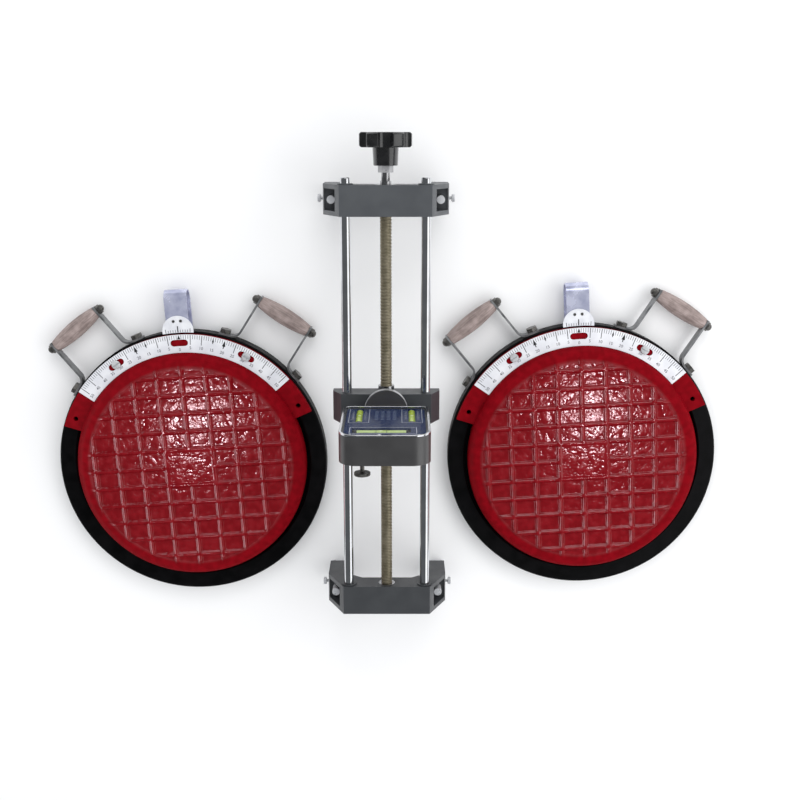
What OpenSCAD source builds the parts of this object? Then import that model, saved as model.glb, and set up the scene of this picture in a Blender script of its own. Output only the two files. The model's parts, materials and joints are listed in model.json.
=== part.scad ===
// Wheel alignment gauge set: two turn plates with angle scales, and a wheel clamp that
// carries a spirit level gauge. The set lies on a flat surface at z = 0, with the clamp on
// its back and its gauge facing up. Lengths are in millimetres and angles in degrees.

/* [Layout] */
// Gap between the clamp's axis and the near edge of each turn plate
plate_gap = 80; // [72:1:140]
// Centre of the left turn plate, from the hub axis towards the knob
left_plate_y = -95; // [-140:1:-60]
// Centre of the right turn plate, from the hub axis towards the knob
right_plate_y = -86; // [-140:1:-60]
// Turn of both turn plates about their own axes
plate_turn = 3.5; // [0:0.5:8]

/* [Turn plate base] */
// Outer diameter of the base
base_d = 352; // [320:1:400]
// Height of the ledge round the base
base_h = 22; // [20:0.5:28]
// Thickness of the base's floor
floor_t = 8; // [7:0.5:10]
// Width of the ledge
ledge_w = 22; // [20:0.5:26]
// Bevel on the edges of the base
base_bevel = 1.5; // [0.5:0.1:2]
// Diameter of the pivot bolt
pivot_d = 16; // [12:0.5:20]
// Diameter of the pivot bolt's head
pivot_head_d = 30; // [24:1:36]
// Height of the pivot bolt's head
pivot_head_h = 3.5; // [2:0.1:4.5]

/* [Ball bearing] */
// Diameter of the balls
ball_d = 10; // [8:0.5:12]
// Number of balls
ball_count = 24; // [12:1:30]
// Radius of the ball circle
ball_ring_r = 118; // [100:1:122]
// Thickness of the ball cage
cage_t = 3; // [2:0.5:4]
// Width of the ball cage
cage_w = 30; // [20:1:34]

/* [Top plate] */
// Gap between the platform and the base's ledge
platform_gap = 4; // [3:0.5:6]
// Radius of the platform's rounded shoulder
shoulder_r = 11; // [8:0.5:13]
// Thickness of the platform's skin
skin_t = 9; // [6:0.5:10]
// Thickness of the platform's skirt
skirt_t = 9; // [6:0.5:12]
// Thickness of the flange that carries the scale
flange_t = 7; // [5:0.5:9]
// Half angle of the flange
flange_half = 69; // [66:0.5:80]
// Running gap under the flange
flange_gap = 1; // [0.6:0.1:2]
// Half angle between the lock holes
lock_half = 64; // [60:0.5:65]
// Diameter of the lock holes
lock_d = 6; // [4:0.5:8]
// Depth of the lock holes in the base
lock_depth = 10; // [6:0.5:12]
// Spacing of the ribs across the plate
rib_pitch_x = 31; // [26:0.5:36]
// Spacing of the ribs along the plate
rib_pitch_y = 24; // [20:0.5:30]
// Width of a rib at its foot
rib_w = 5.6; // [4:0.2:8]
// Width of a rib at its top
rib_top_w = 3; // [2:0.2:4]
// Height of the ribs
rib_h = 3; // [2:0.2:5]
// Smooth border between the ribs and the shoulder
rib_border = 3; // [1:0.5:8]

/* [Angle scale] */
// Thickness of the scale
scale_t = 1.5; // [1:0.1:2.5]
// Half angle of the scale
scale_half = 52; // [50:0.5:58]
// Rim of the base left showing outside the scale
rim_show = 2.5; // [1.5:0.1:5]
// Angle between the middle slot and each screw slot
slot_angle = 31; // [24:0.5:36]
// Width of the slots
slot_w = 8.5; // [7:0.1:10]
// Half angle of each slot, between its end centres
slot_half = 2.5; // [2.2:0.1:4]
// Diameter of the scale screws
scale_screw_d = 6; // [4:0.5:6.5]
// Diameter of the scale screws' heads
scale_screw_head_d = 11; // [10:0.5:14]
// Height of the scale screws' heads
scale_screw_head_h = 3; // [2:0.1:4]
// Depth of the scale screws in the flange
scale_screw_depth = 5; // [3:0.5:5]

/* [Pointer] */
// Width of the pointer strap
pointer_w = 29; // [24:1:36]
// Thickness of the pointer strap
pointer_t = 2; // [1.5:0.1:3]
// How far the strap reaches out from the rim
pointer_reach = 54; // [46:1:64]
// Height of the strap's lower leg above the floor
pointer_low = 3; // [2:0.5:5]
// Height of the strap's tab on the rim
pointer_tab_h = 15; // [12:0.5:17]
// Radius of the vernier plate
vernier_r = 20; // [17:0.5:24]
// Thickness of the vernier plate
vernier_t = 1.2; // [0.8:0.1:2]
// Spacing of the vernier plate's rivets
rivet_pitch = 9.4; // [8:0.2:14]
// Diameter of the rivets
rivet_d = 3.4; // [2.5:0.1:4]
// Diameter of the pointer screws
pointer_screw_d = 4; // [3:0.5:5]
// Spacing of the pointer screws
pointer_screw_pitch = 18; // [14:0.5:22]

/* [Handles] */
// Angle of each handle from the pointer
handle_angle = 36; // [34:0.5:42]
// Half angle between the two bolts of a handle
bolt_half = 17.3; // [16:0.1:19]
// Distance of the grips from the rim
grip_reach = 54; // [46:1:66]
// Height of the handles' axes above the floor
handle_z = 12.5; // [12:0.5:14]
// Half spacing of the straps of a handle
handle_half = 37; // [35:0.5:38]
// Thickness of the handle straps
strap_t = 2.5; // [2:0.1:3]
// Width of the handle straps
strap_w = 14; // [12:0.5:16]
// Radius of the bend at a strap's foot
strap_bend_r = 11; // [6:0.5:12]
// Length of a strap beyond its bolt
strap_tail = 8; // [7:0.5:10]
// Diameter of the grips at their middle
grip_d = 22; // [19:0.5:23]
// Diameter of the grips at their ends
grip_end_d = 15; // [12:0.5:17]
// Diameter of the grip bolts
grip_bolt_d = 6; // [5:0.5:8]
// Width of the grip nuts across their flats
grip_nut_w = 11; // [9:0.5:13]
// Height of the grip nuts
grip_nut_h = 9; // [7:0.5:12]
// Diameter of the rim bolts
rim_bolt_d = 8; // [6:0.5:8]
// Width of the rim bolts' heads across their flats
rim_bolt_w = 13; // [11:0.5:13]
// Height of the rim bolts' heads
rim_bolt_head_h = 5.5; // [4:0.5:7]
// Depth of the rim bolts in the base
rim_bolt_depth = 11; // [8:0.5:14]

/* [Clamp brackets] */
// Height of each bracket along the rods
bracket_h = 37; // [34:0.5:42]
// Half width of a bracket at its front
front_half = 55; // [53:0.5:60]
// Half width of a bracket at its wings
wing_half = 76.5; // [74:0.5:78]
// Depth of a bracket's front bar
bar_depth = 32; // [28:0.5:36]
// Depth of the slope from the front to the wings
slope_depth = 45; // [40:1:52]
// Depth of a bracket with its wings
wing_depth = 92; // [84:1:100]
// Thickness of the wings
wing_t = 26; // [24:0.5:28]
// Height of the wings' backs above the floor
wing_back_z = 20; // [19:0.5:26]
// Distance from the hub axis to the open end brackets
open_half = 251.5; // [245:0.5:280]
// Half width of the middle bracket at its wings
middle_half = 66; // [62:0.5:70]
// Depth of the middle bracket
middle_depth = 34; // [30:0.5:40]

/* [Rods and screw] */
// Half spacing of the guide rods
rod_half = 48; // [44:0.5:49]
// Diameter of the guide rods
rod_d = 12; // [10:0.5:14]
// Depth of the rods behind the front face
rod_inset = 11; // [10:0.5:13]
// Length of rod above the open top bracket
rod_over = 8.6; // [4:0.2:14]
// Length of rod left inside the open bottom bracket, short of its lower face
rod_under = 2; // [0.5:0.5:6]
// Wall of the rod bushes
bush_wall = 2; // [1.5:0.25:2.5]
// Height of the bushes' flanges
bush_flange_h = 1.5; // [1:0.1:3]
// Diameter of the lead screw
screw_d = 14; // [12:0.5:16]
// Depth of the lead screw behind the front face
screw_inset = 16; // [15:0.5:18]
// Outer diameter of the lead nuts
nut_d = 21; // [19:0.5:23]
// Width of the lead nuts' flanges across their flats
nut_flange_w = 24; // [23.5:0.5:26]
// Height of the lead nuts' flanges, which are let into the brackets
nut_flange_h = 6; // [3:0.5:8]
// Height of the collars at the middle bracket
collar_h = 8; // [5:0.5:12]
// Diameter of the collars
collar_d = 20; // [19:0.5:24]

/* [Knob] */
// Diameter of the screw's neck below the knob
neck_d = 10; // [8:0.5:11]
// Length of full thread above the open top bracket
thread_over = 4.5; // [3:0.5:7]
// Neck left showing between the thread and the lock nut
neck_show = 9.5; // [6:0.5:16]
// Width of the lock nut across its flats
lock_nut_w = 16; // [14:0.5:19]
// Height of the lock nut
lock_nut_h = 8; // [5:0.5:10]
// Diameter of the knob
knob_d = 63; // [58:1:70]
// Height of the knob's lobed head
knob_head_h = 17.5; // [14:0.5:22]
// Diameter of the knob's boss
knob_boss_d = 31; // [26:0.5:36]
// Height of the knob's boss
knob_boss_h = 21; // [16:0.5:28]
// Number of lobes on the knob
knob_lobes = 6; // [5:1:8]

/* [Claws] */
// Distance of the claws from the wings' outer faces
claw_inset = 10.5; // [9:0.5:12]
// Diameter of the claws' shanks
claw_d = 10; // [8:0.5:11]
// Height of the recesses in the wings' slopes, where the claws' ends show
recess_h = 26; // [22:0.5:28]
// Wall left outside the recesses
recess_wall = 1.5; // [1:0.25:3]
// Thickness of the claws' hooks
hook_t = 6; // [5:0.5:6.5]
// Width of the hooks
hook_w = 18; // [16:0.5:20]
// Reach of the hooks towards the hub
hook_reach = 11.5; // [10:0.5:14]
// Height of the thumb screws above the wings' backs
thumb_z = 25; // [18:0.5:30]
// Diameter of the thumb screws
thumb_d = 4; // [3:0.5:5]
// Length of thumb screw showing outside the wing
thumb_show = 4; // [3:0.5:6]
// Diameter of the thumb screws' heads
thumb_head_d = 9; // [8:0.5:12]
// Thickness of the thumb screws' heads
thumb_head_t = 4; // [3:0.5:6]

/* [Gauge] */
// Width of the gauge's housing
gauge_w = 103; // [98:0.5:110]
// Depth of the gauge's housing
gauge_depth = 140; // [130:0.5:150]
// Height of the gauge's housing
gauge_h = 35; // [34:0.5:42]
// Height of the gauge's top above the hub axis
gauge_rise = 7; // [4:0.5:9]
// Radius of the housing's front corners
gauge_front_r = 22; // [16:0.5:26]
// Radius of the housing's back corners
gauge_back_r = 10; // [8:0.5:14]
// Wall of the housing
gauge_wall = 5; // [4:0.5:6]
// Floor of the housing
gauge_floor = 3; // [2:0.5:4]
// Width of the bezel
bezel_w = 3; // [2:0.25:3.5]
// Height of the bezel
bezel_h = 2.5; // [2:0.1:4]
// Thickness of the window
window_t = 1.8; // [1:0.1:2]
// Gap between the window and the panel
panel_gap = 0.5; // [0.3:0.1:1]
// Thickness of the panel
panel_t = 2; // [1.5:0.1:3]
// Diameter of the mounting disc
disc_d = 52; // [46:0.5:60]
// Thickness of the mounting disc
disc_t = 10; // [8:0.5:14]
// Diameter of the hub spigot
spigot_d = 18; // [14:0.5:22]
// Half spacing of the disc's screws
disc_screw_half = 17; // [15:0.5:18]
// Distance of the disc's screws below the hub axis
disc_screw_drop = 12; // [10:0.5:14]
// Diameter of the disc's screws
disc_screw_d = 4; // [3:0.5:5]

/* [Vials] */
// Diameter of the short vials
short_vial_d = 10; // [8:0.5:11]
// Length of the short vials
short_vial_l = 60; // [50:0.5:66]
// Half spacing of the short vials
short_vial_half = 31; // [28:0.5:33]
// Distance of the short vials from the housing's back wall
short_vial_back = 2.5; // [2:0.5:6]
// Diameter of the long vial
long_vial_d = 9; // [7:0.5:10]
// Length of the long vial
long_vial_l = 62; // [56:0.5:64]
// Distance of the long vial from the housing's front
long_vial_inset = 38; // [34:0.5:42]
// Width of the panel's window in front of the long vial
long_window = 10; // [6:0.5:12]
// Depth of the long vial's top below the panel, which leaves room to tilt it
long_vial_drop = 1.2; // [1.1:0.1:1.8]
// Thickness of the vial cradle
cradle_t = 4; // [3:0.5:5]
// Width of the vial cradle
cradle_w = 12; // [11:0.5:14]
// Diameter of the cradle's pivot pin
cradle_pin_d = 3; // [2:0.5:4]
// Half spacing of the cradle's pivot and its adjusting screw
cradle_half = 22; // [20:0.5:24]
// Diameter of the adjusting screw
adjust_d = 5; // [4:0.5:6]
// Length of adjusting screw showing under the housing
adjust_show = 18; // [14:0.5:22]
// Diameter of the adjusting screw's head
adjust_head_d = 18; // [14:0.5:20]
// Thickness of the adjusting screw's head
adjust_head_t = 4; // [3:0.5:6]

/* [Clearances] */
// Radial clearance of a running fit
run_fit = 0.05; // [0.03:0.01:0.08]
// Clearance of a bolt or a seated piece in its hole
seat_fit = 0.1; // [0.05:0.01:0.2]
// Gap between flat faces that slide past each other
slide_gap = 0.15; // [0.1:0.01:0.3]
// Radial gap between a ball and its hole in the cage
cage_fit = 0.25; // [0.15:0.05:0.4]
// Gap between the adjusting screw and the cradle that tilts on it
tilt_fit = 0.5; // [0.4:0.05:0.8]

/* [Hidden] */
$fn = 64;
overcut = 1;
SIDES = [-1, 1];
LEFT = -1;
RIGHT = 1;
TOP = 1;
BOTTOM = -1;

base_r = base_d / 2;
recess_r = base_r - ledge_w;
platform_r = recess_r - platform_gap;
plate_x = plate_gap + base_r;
track_z = floor_t + ball_d + 2 * slide_gap;
flange_z = base_h + flange_gap;
flange_top = flange_z + flange_t;
flange_r = base_r - rim_show - slide_gap;
plate_top = flange_top + shoulder_r;
skin_z = plate_top - skin_t;
rib_r = platform_r - shoulder_r - rib_border;
rib_top = plate_top + rib_h;
track_half = cage_w / 2 - 2;
boss_r = pivot_d / 2 + 14;
pivot_top = skin_z + 2;
pad_w = 2 * rib_pitch_x - rib_w;
pad_l = 2 * rib_pitch_y - rib_w;
lock_r = (platform_r + flange_r) / 2;

scale_z = flange_top + slide_gap;
scale_top = scale_z + scale_t;
scale_in = platform_r + slide_gap;
scale_out = base_r - rim_show;
slot_r = (scale_in + scale_out) / 2 + 1;

pointer_top = scale_top - vernier_t;
pointer_bend_r = (pointer_top - pointer_low) / 2;
pointer_bend_u = base_r + pointer_reach - pointer_bend_r;
vernier_u = base_r + 2;
rivet_u = base_r + vernier_r * 0.75;
pointer_screw_z = pointer_low + pointer_tab_h - 5;
pointer_screw_depth = 8;

strap_r = base_r + strap_t / 2 + slide_gap;
grip_u = base_r + grip_reach;
grip_half = handle_half - strap_t / 2 - slide_gap;
grip_nut_face = handle_half + strap_t / 2;
nut_corner = 1 / cos(30);

front_z = wing_back_z + wing_depth;
rod_z = front_z - rod_inset;
screw_z = front_z - screw_inset;
half_h = bracket_h / 2;
claw_x = wing_half - claw_inset;
rod_top_y = open_half + half_h + rod_over;
rod_low_y = -open_half - half_h + rod_under;
bush_d = rod_d + 2 * bush_wall;
bush_flange_d = bush_d + 3;
neck_y = open_half + half_h + thread_over;
lock_nut_y = neck_y + neck_show;
knob_y = lock_nut_y + lock_nut_h;
knob_top_y = knob_y + knob_boss_h + knob_head_h;
claw_front_z = front_z - slope_depth * 0.62;
recess_low_x = claw_x - claw_d * 0.55;
recess_high_x = wing_half - recess_wall;

disc_z = front_z + 1.5;
gauge_back_z = disc_z + disc_t;
gauge_front_z = gauge_back_z + gauge_depth;
gauge_top_y = gauge_rise;
gauge_low_y = gauge_top_y - gauge_h;
panel_y = gauge_top_y - bezel_h - panel_gap;
short_vial_y = panel_y - short_vial_d / 2;
short_slot_w = 2 * sqrt(short_vial_d * panel_t - panel_t * panel_t);
long_vial_y = panel_y - long_vial_d / 2 - long_vial_drop;
long_vial_z = gauge_front_z - long_vial_inset;
long_vial_x = -4;
cradle_y = long_vial_y - long_vial_d / 2 - seat_fit - cradle_t / 2;
adjust_x = long_vial_x - cradle_half;
cradle_pin_x = long_vial_x + cradle_half;
short_vial_z = gauge_back_z + gauge_wall + short_vial_back + short_vial_l / 2;
spigot_top_z = disc_z + disc_t - 2;

// The set's middle in plan: the outer grip of the left plate sets its left end, the right
// base its right end, the knob its top and the lower of the bases its bottom.
outer_turn = handle_angle + plate_turn;
left_end = -plate_x - grip_u * sin(outer_turn) - (grip_nut_face + grip_nut_h) * cos(outer_turn);
set_x = (left_end + plate_x + base_r) / 2;
set_y = (knob_top_y + min(left_plate_y, right_plate_y) - base_r) / 2;

// Placement helpers

module in_set() {
  translate([-set_x, -set_y, 0]) children();
}

module on_plate(side) {
  plate_y = side == LEFT ? left_plate_y : right_plate_y;
  in_set() translate([side * plate_x, plate_y, 0]) rotate(plate_turn) children();
}

module on_both_plates() {
  for (side = SIDES) on_plate(side) children();
}

// A handle's own frame: x runs outwards along the handle, y along its grip.
module on_handle(hand) {
  rotate(90 - hand * handle_angle) children();
}

module on_both_handles() {
  for (hand = SIDES) on_handle(hand) children();
}

// Turns a shape drawn upwards so that it stands along +y.
module along_y() {
  rotate([-90, 0, 0]) children();
}

// Extrudes an outline drawn in x and z along y, centred on y = 0.
module plan_extrude(h) {
  rotate([90, 0, 0]) linear_extrude(h, center = true) children();
}

module tube(outer_d, inner_d, h) {
  difference() {
    cylinder(d = outer_d, h = h);
    translate([0, 0, -overcut]) cylinder(d = inner_d, h = h + 2 * overcut);
  }
}

module hex(width, h) {
  cylinder(d = width * nut_corner, h = h, $fn = 6);
}

// Part of a ring between two angles from the pointer direction.
module ring_sector(r_in, r_out, half) {
  far = 2 * r_out;
  intersection() {
    difference() {
      circle(r_out, $fn = 128);
      circle(r_in, $fn = 128);
    }
    polygon([[0, 0], [-far * sin(half), far * cos(half)], [-far, 2 * far], [far, 2 * far],
             [far * sin(half), far * cos(half)]]);
  }
}

// Turn plate base and bearing

module base(side) {
  color("#15161a") on_plate(side) difference() {
    rotate_extrude($fn = 128) difference() {
      square([base_r, base_h]);
      translate([-overcut, floor_t]) square([recess_r + overcut, base_h]);
      translate([base_r, base_h]) rotate(45) square(base_bevel * sqrt(2), center = true);
      translate([recess_r, base_h]) rotate(45) square(base_bevel * sqrt(2), center = true);
      translate([base_r, 0]) rotate(45) square(base_bevel * sqrt(2), center = true);
    }
    translate([0, 0, -overcut]) cylinder(d = pivot_d + 2 * run_fit, h = floor_t + 2 * overcut);
    translate([0, 0, -overcut])
      cylinder(d = pivot_head_d + 2 * seat_fit, h = pivot_head_h + slide_gap + overcut);
    for (a = SIDES) rotate(a * lock_half)
      translate([0, lock_r, base_h - lock_depth]) cylinder(d = lock_d, h = lock_depth + overcut);
    on_both_handles() at_rim_bolts() rim_hole(rim_bolt_d, rim_bolt_depth);
    at_pointer_screws() rim_hole(pointer_screw_d, pointer_screw_depth);
  }
}

// A blind hole into the rim, drilled towards the base's axis along -x.
module rim_hole(d, depth) {
  rotate([0, -90, 0]) translate([0, 0, -2 * overcut])
    cylinder(d = d + 2 * seat_fit, h = depth + 2 * overcut + slide_gap);
}

// The bolts of one handle, each with +x pointing out of the rim.
module at_rim_bolts() {
  for (s = SIDES) rotate(s * bolt_half) translate([base_r, 0, handle_z]) children();
}

// The pointer's screws, each with +x pointing out of the rim.
module at_pointer_screws() {
  for (s = SIDES) rotate(90)
    translate([base_r, s * pointer_screw_pitch / 2, pointer_screw_z]) children();
}

module ball_cage(side) {
  color("#b08d3c") on_plate(side) translate([0, 0, floor_t + slide_gap + (ball_d - cage_t) / 2])
    difference() {
      tube(2 * ball_ring_r + cage_w, 2 * ball_ring_r - cage_w, cage_t, $fn = 128);
      at_balls() translate([0, 0, -overcut])
        cylinder(d = ball_d + 2 * cage_fit, h = cage_t + 2 * overcut);
    }
}

module at_balls() {
  for (i = [0 : ball_count - 1]) rotate(i * 360 / ball_count)
    translate([ball_ring_r, 0, 0]) children();
}

module balls(side) {
  color("silver") on_plate(side) at_balls()
    translate([0, 0, floor_t + slide_gap + ball_d / 2]) sphere(d = ball_d);
}

module pivot_bolts() {
  color("dimgray") on_both_plates() {
    cylinder(d = pivot_head_d, h = pivot_head_h);
    cylinder(d = pivot_d, h = pivot_top);
  }
}

// Top plate, scale and scale screws

module top_plate(side) {
  color("#a80f18") on_plate(side) difference() {
    union() {
      platform();
      scale_flange();
      tread();
    }
    translate([0, 0, -overcut]) cylinder(d = pivot_d + 2 * run_fit, h = pivot_top + slide_gap + overcut);
    for (a = SIDES) rotate(a * lock_half)
      translate([0, lock_r, flange_z - overcut]) cylinder(d = lock_d, h = flange_t + 2 * overcut);
    for (a = SIDES) rotate(a * slot_angle) translate([0, slot_r, flange_top - scale_screw_depth - slide_gap])
      cylinder(d = scale_screw_d + 2 * seat_fit, h = scale_screw_depth + slide_gap + overcut);
  }
}

// The platform is a casting: a skin with a boss, a ball track and a skirt below it.
module platform() {
  rotate_extrude($fn = 128) difference() {
    union() {
      translate([0, track_z]) square([platform_r - shoulder_r, plate_top - track_z]);
      translate([0, track_z]) square([platform_r, flange_top - track_z]);
      translate([platform_r - shoulder_r, flange_top]) circle(shoulder_r);
    }
    pocket(boss_r, ball_ring_r - track_half);
    pocket(ball_ring_r + track_half, platform_r - skirt_t);
  }
}

module pocket(r_in, r_out) {
  translate([r_in, track_z - overcut]) square([r_out - r_in, skin_z - track_z + overcut]);
}

module scale_flange() {
  translate([0, 0, flange_z]) linear_extrude(flange_t)
    ring_sector(platform_r - skirt_t / 2, flange_r, flange_half);
}

module tread() {
  translate([0, 0, plate_top - overcut]) intersection() {
    cylinder(r = rib_r, h = rib_h + overcut, $fn = 128);
    union() {
      for (x = [0 : rib_pitch_x : rib_r - rib_w], s = SIDES) translate([s * x, 0, 0]) rib();
      for (y = [0 : rib_pitch_y : rib_r - rib_w], s = SIDES) translate([0, s * y, 0]) rotate(90) rib();
      translate([-pad_w / 2, -pad_l / 2, 0]) cube([pad_w, pad_l, rib_h + overcut]);
    }
  }
}

// One rib along y, tapered to its top, sunk by the overcut into the platform.
module rib() {
  plan_extrude(2 * rib_r) polygon([
    [-rib_w / 2, 0], [rib_w / 2, 0], [rib_w / 2, overcut],
    [rib_top_w / 2, rib_h + overcut], [-rib_top_w / 2, rib_h + overcut], [-rib_w / 2, overcut]
  ]);
}

module angle_scale(side) {
  color("#d9dce0") on_plate(side) translate([0, 0, scale_z]) linear_extrude(scale_t) difference() {
    ring_sector(scale_in, scale_out, scale_half);
    for (a = [-slot_angle, 0, slot_angle]) rotate(a) arc_slot();
  }
}

module arc_slot() {
  ring_sector(slot_r - slot_w / 2, slot_r + slot_w / 2, slot_half);
  for (s = SIDES) rotate(s * slot_half) translate([0, slot_r]) circle(d = slot_w - seat_fit);
}

module scale_screws(side) {
  color("gainsboro") on_plate(side) for (a = SIDES) rotate(a * slot_angle) translate([0, slot_r, 0]) {
    translate([0, 0, flange_top - scale_screw_depth])
      cylinder(d = scale_screw_d, h = scale_screw_depth + scale_t + 3 * slide_gap);
    translate([0, 0, scale_top + slide_gap]) screw_head(scale_screw_head_d, scale_screw_head_h);
  }
}

// A round head with a bevelled top and a driver slot.
module screw_head(d, h) {
  bevel = h / 3;
  difference() {
    union() {
      cylinder(d = d, h = h - bevel);
      translate([0, 0, h - bevel]) cylinder(d1 = d, d2 = d - 2 * bevel, h = bevel);
    }
    translate([0, 0, h]) cube([d + overcut, d / 8, h], center = true);
  }
}

// Pointer: a strap bent back over the rim, with a vernier plate riveted to it

module pointer_bracket(side) {
  color("#aab0c0") on_plate(side) difference() {
    rotate(90) rotate([90, 0, 0]) linear_extrude(pointer_w, center = true) pointer_outline();
    at_pointer_screws() rotate([0, 90, 0]) translate([0, 0, -overcut])
      cylinder(d = pointer_screw_d + 2 * seat_fit, h = pointer_t + 3 * overcut);
    at_rivets() translate([0, 0, pointer_top - 2 * pointer_t])
      cylinder(d = rivet_d + 2 * seat_fit, h = 3 * pointer_t);
  }
}

// The strap from the side: x runs outwards from the base's axis.
module pointer_outline() {
  lower_u = base_r + slide_gap;
  upper_u = base_r + 3;
  translate([lower_u, pointer_low]) square([pointer_t, pointer_tab_h]);
  translate([lower_u, pointer_low]) square([pointer_bend_u - lower_u, pointer_t]);
  translate([upper_u, pointer_top - pointer_t]) square([pointer_bend_u - upper_u, pointer_t]);
  translate([pointer_bend_u, pointer_low + pointer_bend_r]) difference() {
    circle(pointer_bend_r);
    circle(pointer_bend_r - pointer_t);
    translate([-2 * pointer_bend_r, -2 * pointer_bend_r]) square([2 * pointer_bend_r, 4 * pointer_bend_r]);
  }
}

module at_rivets() {
  for (s = SIDES) translate([s * rivet_pitch / 2, rivet_u, 0]) children();
}

module vernier_plate(side) {
  color("#eef0f2") on_plate(side) translate([0, 0, pointer_top]) difference() {
    linear_extrude(vernier_t) difference() {
      translate([0, vernier_u]) circle(vernier_r);
      circle(base_r + slide_gap, $fn = 128);
    }
    at_rivets() translate([0, 0, -overcut])
      cylinder(d = rivet_d + 2 * seat_fit, h = vernier_t + 2 * overcut);
  }
}

module vernier_rivets() {
  rivet_head_h = 0.8;
  color("#2a2a2c") on_both_plates() at_rivets() translate([0, 0, pointer_top - pointer_t - rivet_head_h]) {
    cylinder(d = rivet_d, h = pointer_t + vernier_t + 2 * rivet_head_h);
    cylinder(d = rivet_d * 1.5, h = rivet_head_h);
  }
}

module pointer_screws() {
  color("gray") on_both_plates() at_pointer_screws() rotate([0, 90, 0]) {
    translate([0, 0, slide_gap - pointer_screw_depth])
      cylinder(d = pointer_screw_d, h = pointer_screw_depth + pointer_t);
    translate([0, 0, slide_gap + pointer_t]) screw_head(pointer_screw_d * 2, pointer_screw_d * 0.6);
  }
}

// Handles: two bent straps bolted to the rim, with a wooden grip on a bolt between them

function rim_point(s) = [strap_r * cos(bolt_half) + s * sin(bolt_half),
                         strap_r * sin(bolt_half) - s * cos(bolt_half)];

// Where the leg's line meets the line of the foot.
corner_s = (strap_r * sin(bolt_half) - handle_half) / cos(bolt_half);
strap_corner = rim_point(corner_s);
bend_angle = 90 - bolt_half;
bend_tangent = strap_bend_r * tan(bend_angle / 2);
bend_centre = [strap_corner[0] + bend_tangent, handle_half + strap_bend_r];

module handle_straps(side) {
  color("#8f9296") on_plate(side) on_both_handles() for (s = SIDES) mirror([0, s < 0 ? 1 : 0, 0])
    difference() {
      translate([0, 0, handle_z - strap_w / 2]) linear_extrude(strap_w) strap_outline();
      rotate(bolt_half) translate([base_r, 0, handle_z]) rotate([0, 90, 0]) translate([0, 0, -overcut])
        cylinder(d = rim_bolt_d + 2 * seat_fit, h = strap_t + 3 * overcut);
      translate([grip_u, handle_half, handle_z]) rotate([90, 0, 0])
        cylinder(d = grip_bolt_d + 2 * seat_fit, h = 3 * strap_t, center = true);
    }
}

// One strap from above: a straight leg, a bend and a flat foot on the rim.
module strap_outline() {
  difference() {
    strap_side(strap_t / 2, 0);
    strap_side(-strap_t / 2, overcut);
  }
}

// All that lies on the bend's inner side of one face of the strap, with longer ends.
module strap_side(offset_out, longer) {
  r = strap_bend_r + offset_out;
  leg_l = grip_u + strap_w / 2 - bend_centre[0];
  foot_l = corner_s - bend_tangent + strap_tail;
  translate(bend_centre) translate([0, -r]) square([leg_l + longer, r + longer]);
  translate(bend_centre) intersection() {
    circle(r);
    bend_sector();
  }
  rotate(bolt_half) translate([strap_r - offset_out, bend_tangent - corner_s])
    square([r + longer, foot_l + longer]);
}

// The bend's sector, with some more at each end that lies inside the leg and the foot.
module bend_sector() {
  far = 4 * strap_bend_r;
  more = 12;
  polygon([[0, 0], [far * sin(more), -far * cos(more)], [-far, -far],
           [-far * sin(bend_angle + more), -far * cos(bend_angle + more)]]);
}

module grip(side, hand) {
  sag = (grip_d - grip_end_d) / 2;
  barrel_r = (grip_half * grip_half + sag * sag) / (2 * sag);
  color("#9b8a80") on_plate(side) on_handle(hand) translate([grip_u, 0, handle_z]) along_y()
    rotate_extrude() difference() {
      intersection() {
        translate([0, -grip_half]) square([grip_d, 2 * grip_half]);
        translate([grip_d / 2 - barrel_r, 0]) circle(barrel_r, $fn = 256);
        translate([0, -grip_d * 2]) square([grip_d, grip_d * 4]);
      }
      translate([-overcut, -grip_half - overcut])
        square([grip_bolt_d / 2 + run_fit + overcut, 2 * grip_half + 2 * overcut]);
    }
}

module grip_bolts() {
  bolt_half_l = grip_nut_face + grip_nut_h / 2;
  color("gray") on_both_plates() on_both_handles() translate([grip_u, -bolt_half_l, handle_z]) along_y()
    cylinder(d = grip_bolt_d, h = 2 * bolt_half_l);
}

module grip_nuts() {
  color("#4a4c4f") on_both_plates() on_both_handles() for (s = SIDES)
    translate([grip_u, s * grip_nut_face, handle_z]) rotate([-s * 90, 0, 0]) dome_nut();
}

// A hexagon nut with a round closed end.
module dome_nut() {
  flat_h = grip_nut_h * 0.55;
  difference() {
    union() {
      hex(grip_nut_w, flat_h);
      translate([0, 0, flat_h]) cylinder(d1 = grip_nut_w, d2 = grip_nut_w * 0.5, h = grip_nut_h - flat_h);
    }
    translate([0, 0, -overcut])
      cylinder(d = grip_bolt_d + 2 * seat_fit, h = grip_nut_h / 2 + overcut + seat_fit);
  }
}

module rim_bolts() {
  seat = slide_gap + strap_t;
  color("#5d6064") on_both_plates() on_both_handles() at_rim_bolts() rotate([0, 90, 0]) {
    translate([0, 0, slide_gap - rim_bolt_depth]) cylinder(d = rim_bolt_d, h = rim_bolt_depth + strap_t);
    translate([0, 0, seat]) hex(rim_bolt_w, rim_bolt_head_h);
  }
}

// Clamp frame

// An end bracket from above: a front bar with sloped ends and two wings to the wheel side.
module bracket_outline() {
  inner = wing_half - wing_t;
  polygon([
    [-front_half, front_z], [front_half, front_z],
    [wing_half, front_z - slope_depth], [wing_half, wing_back_z], [inner, wing_back_z],
    [inner, front_z - slope_depth], [rod_half - bush_d, front_z - bar_depth],
    [bush_d - rod_half, front_z - bar_depth], [-inner, front_z - slope_depth],
    [-inner, wing_back_z], [-wing_half, wing_back_z], [-wing_half, front_z - slope_depth]
  ]);
}

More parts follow.
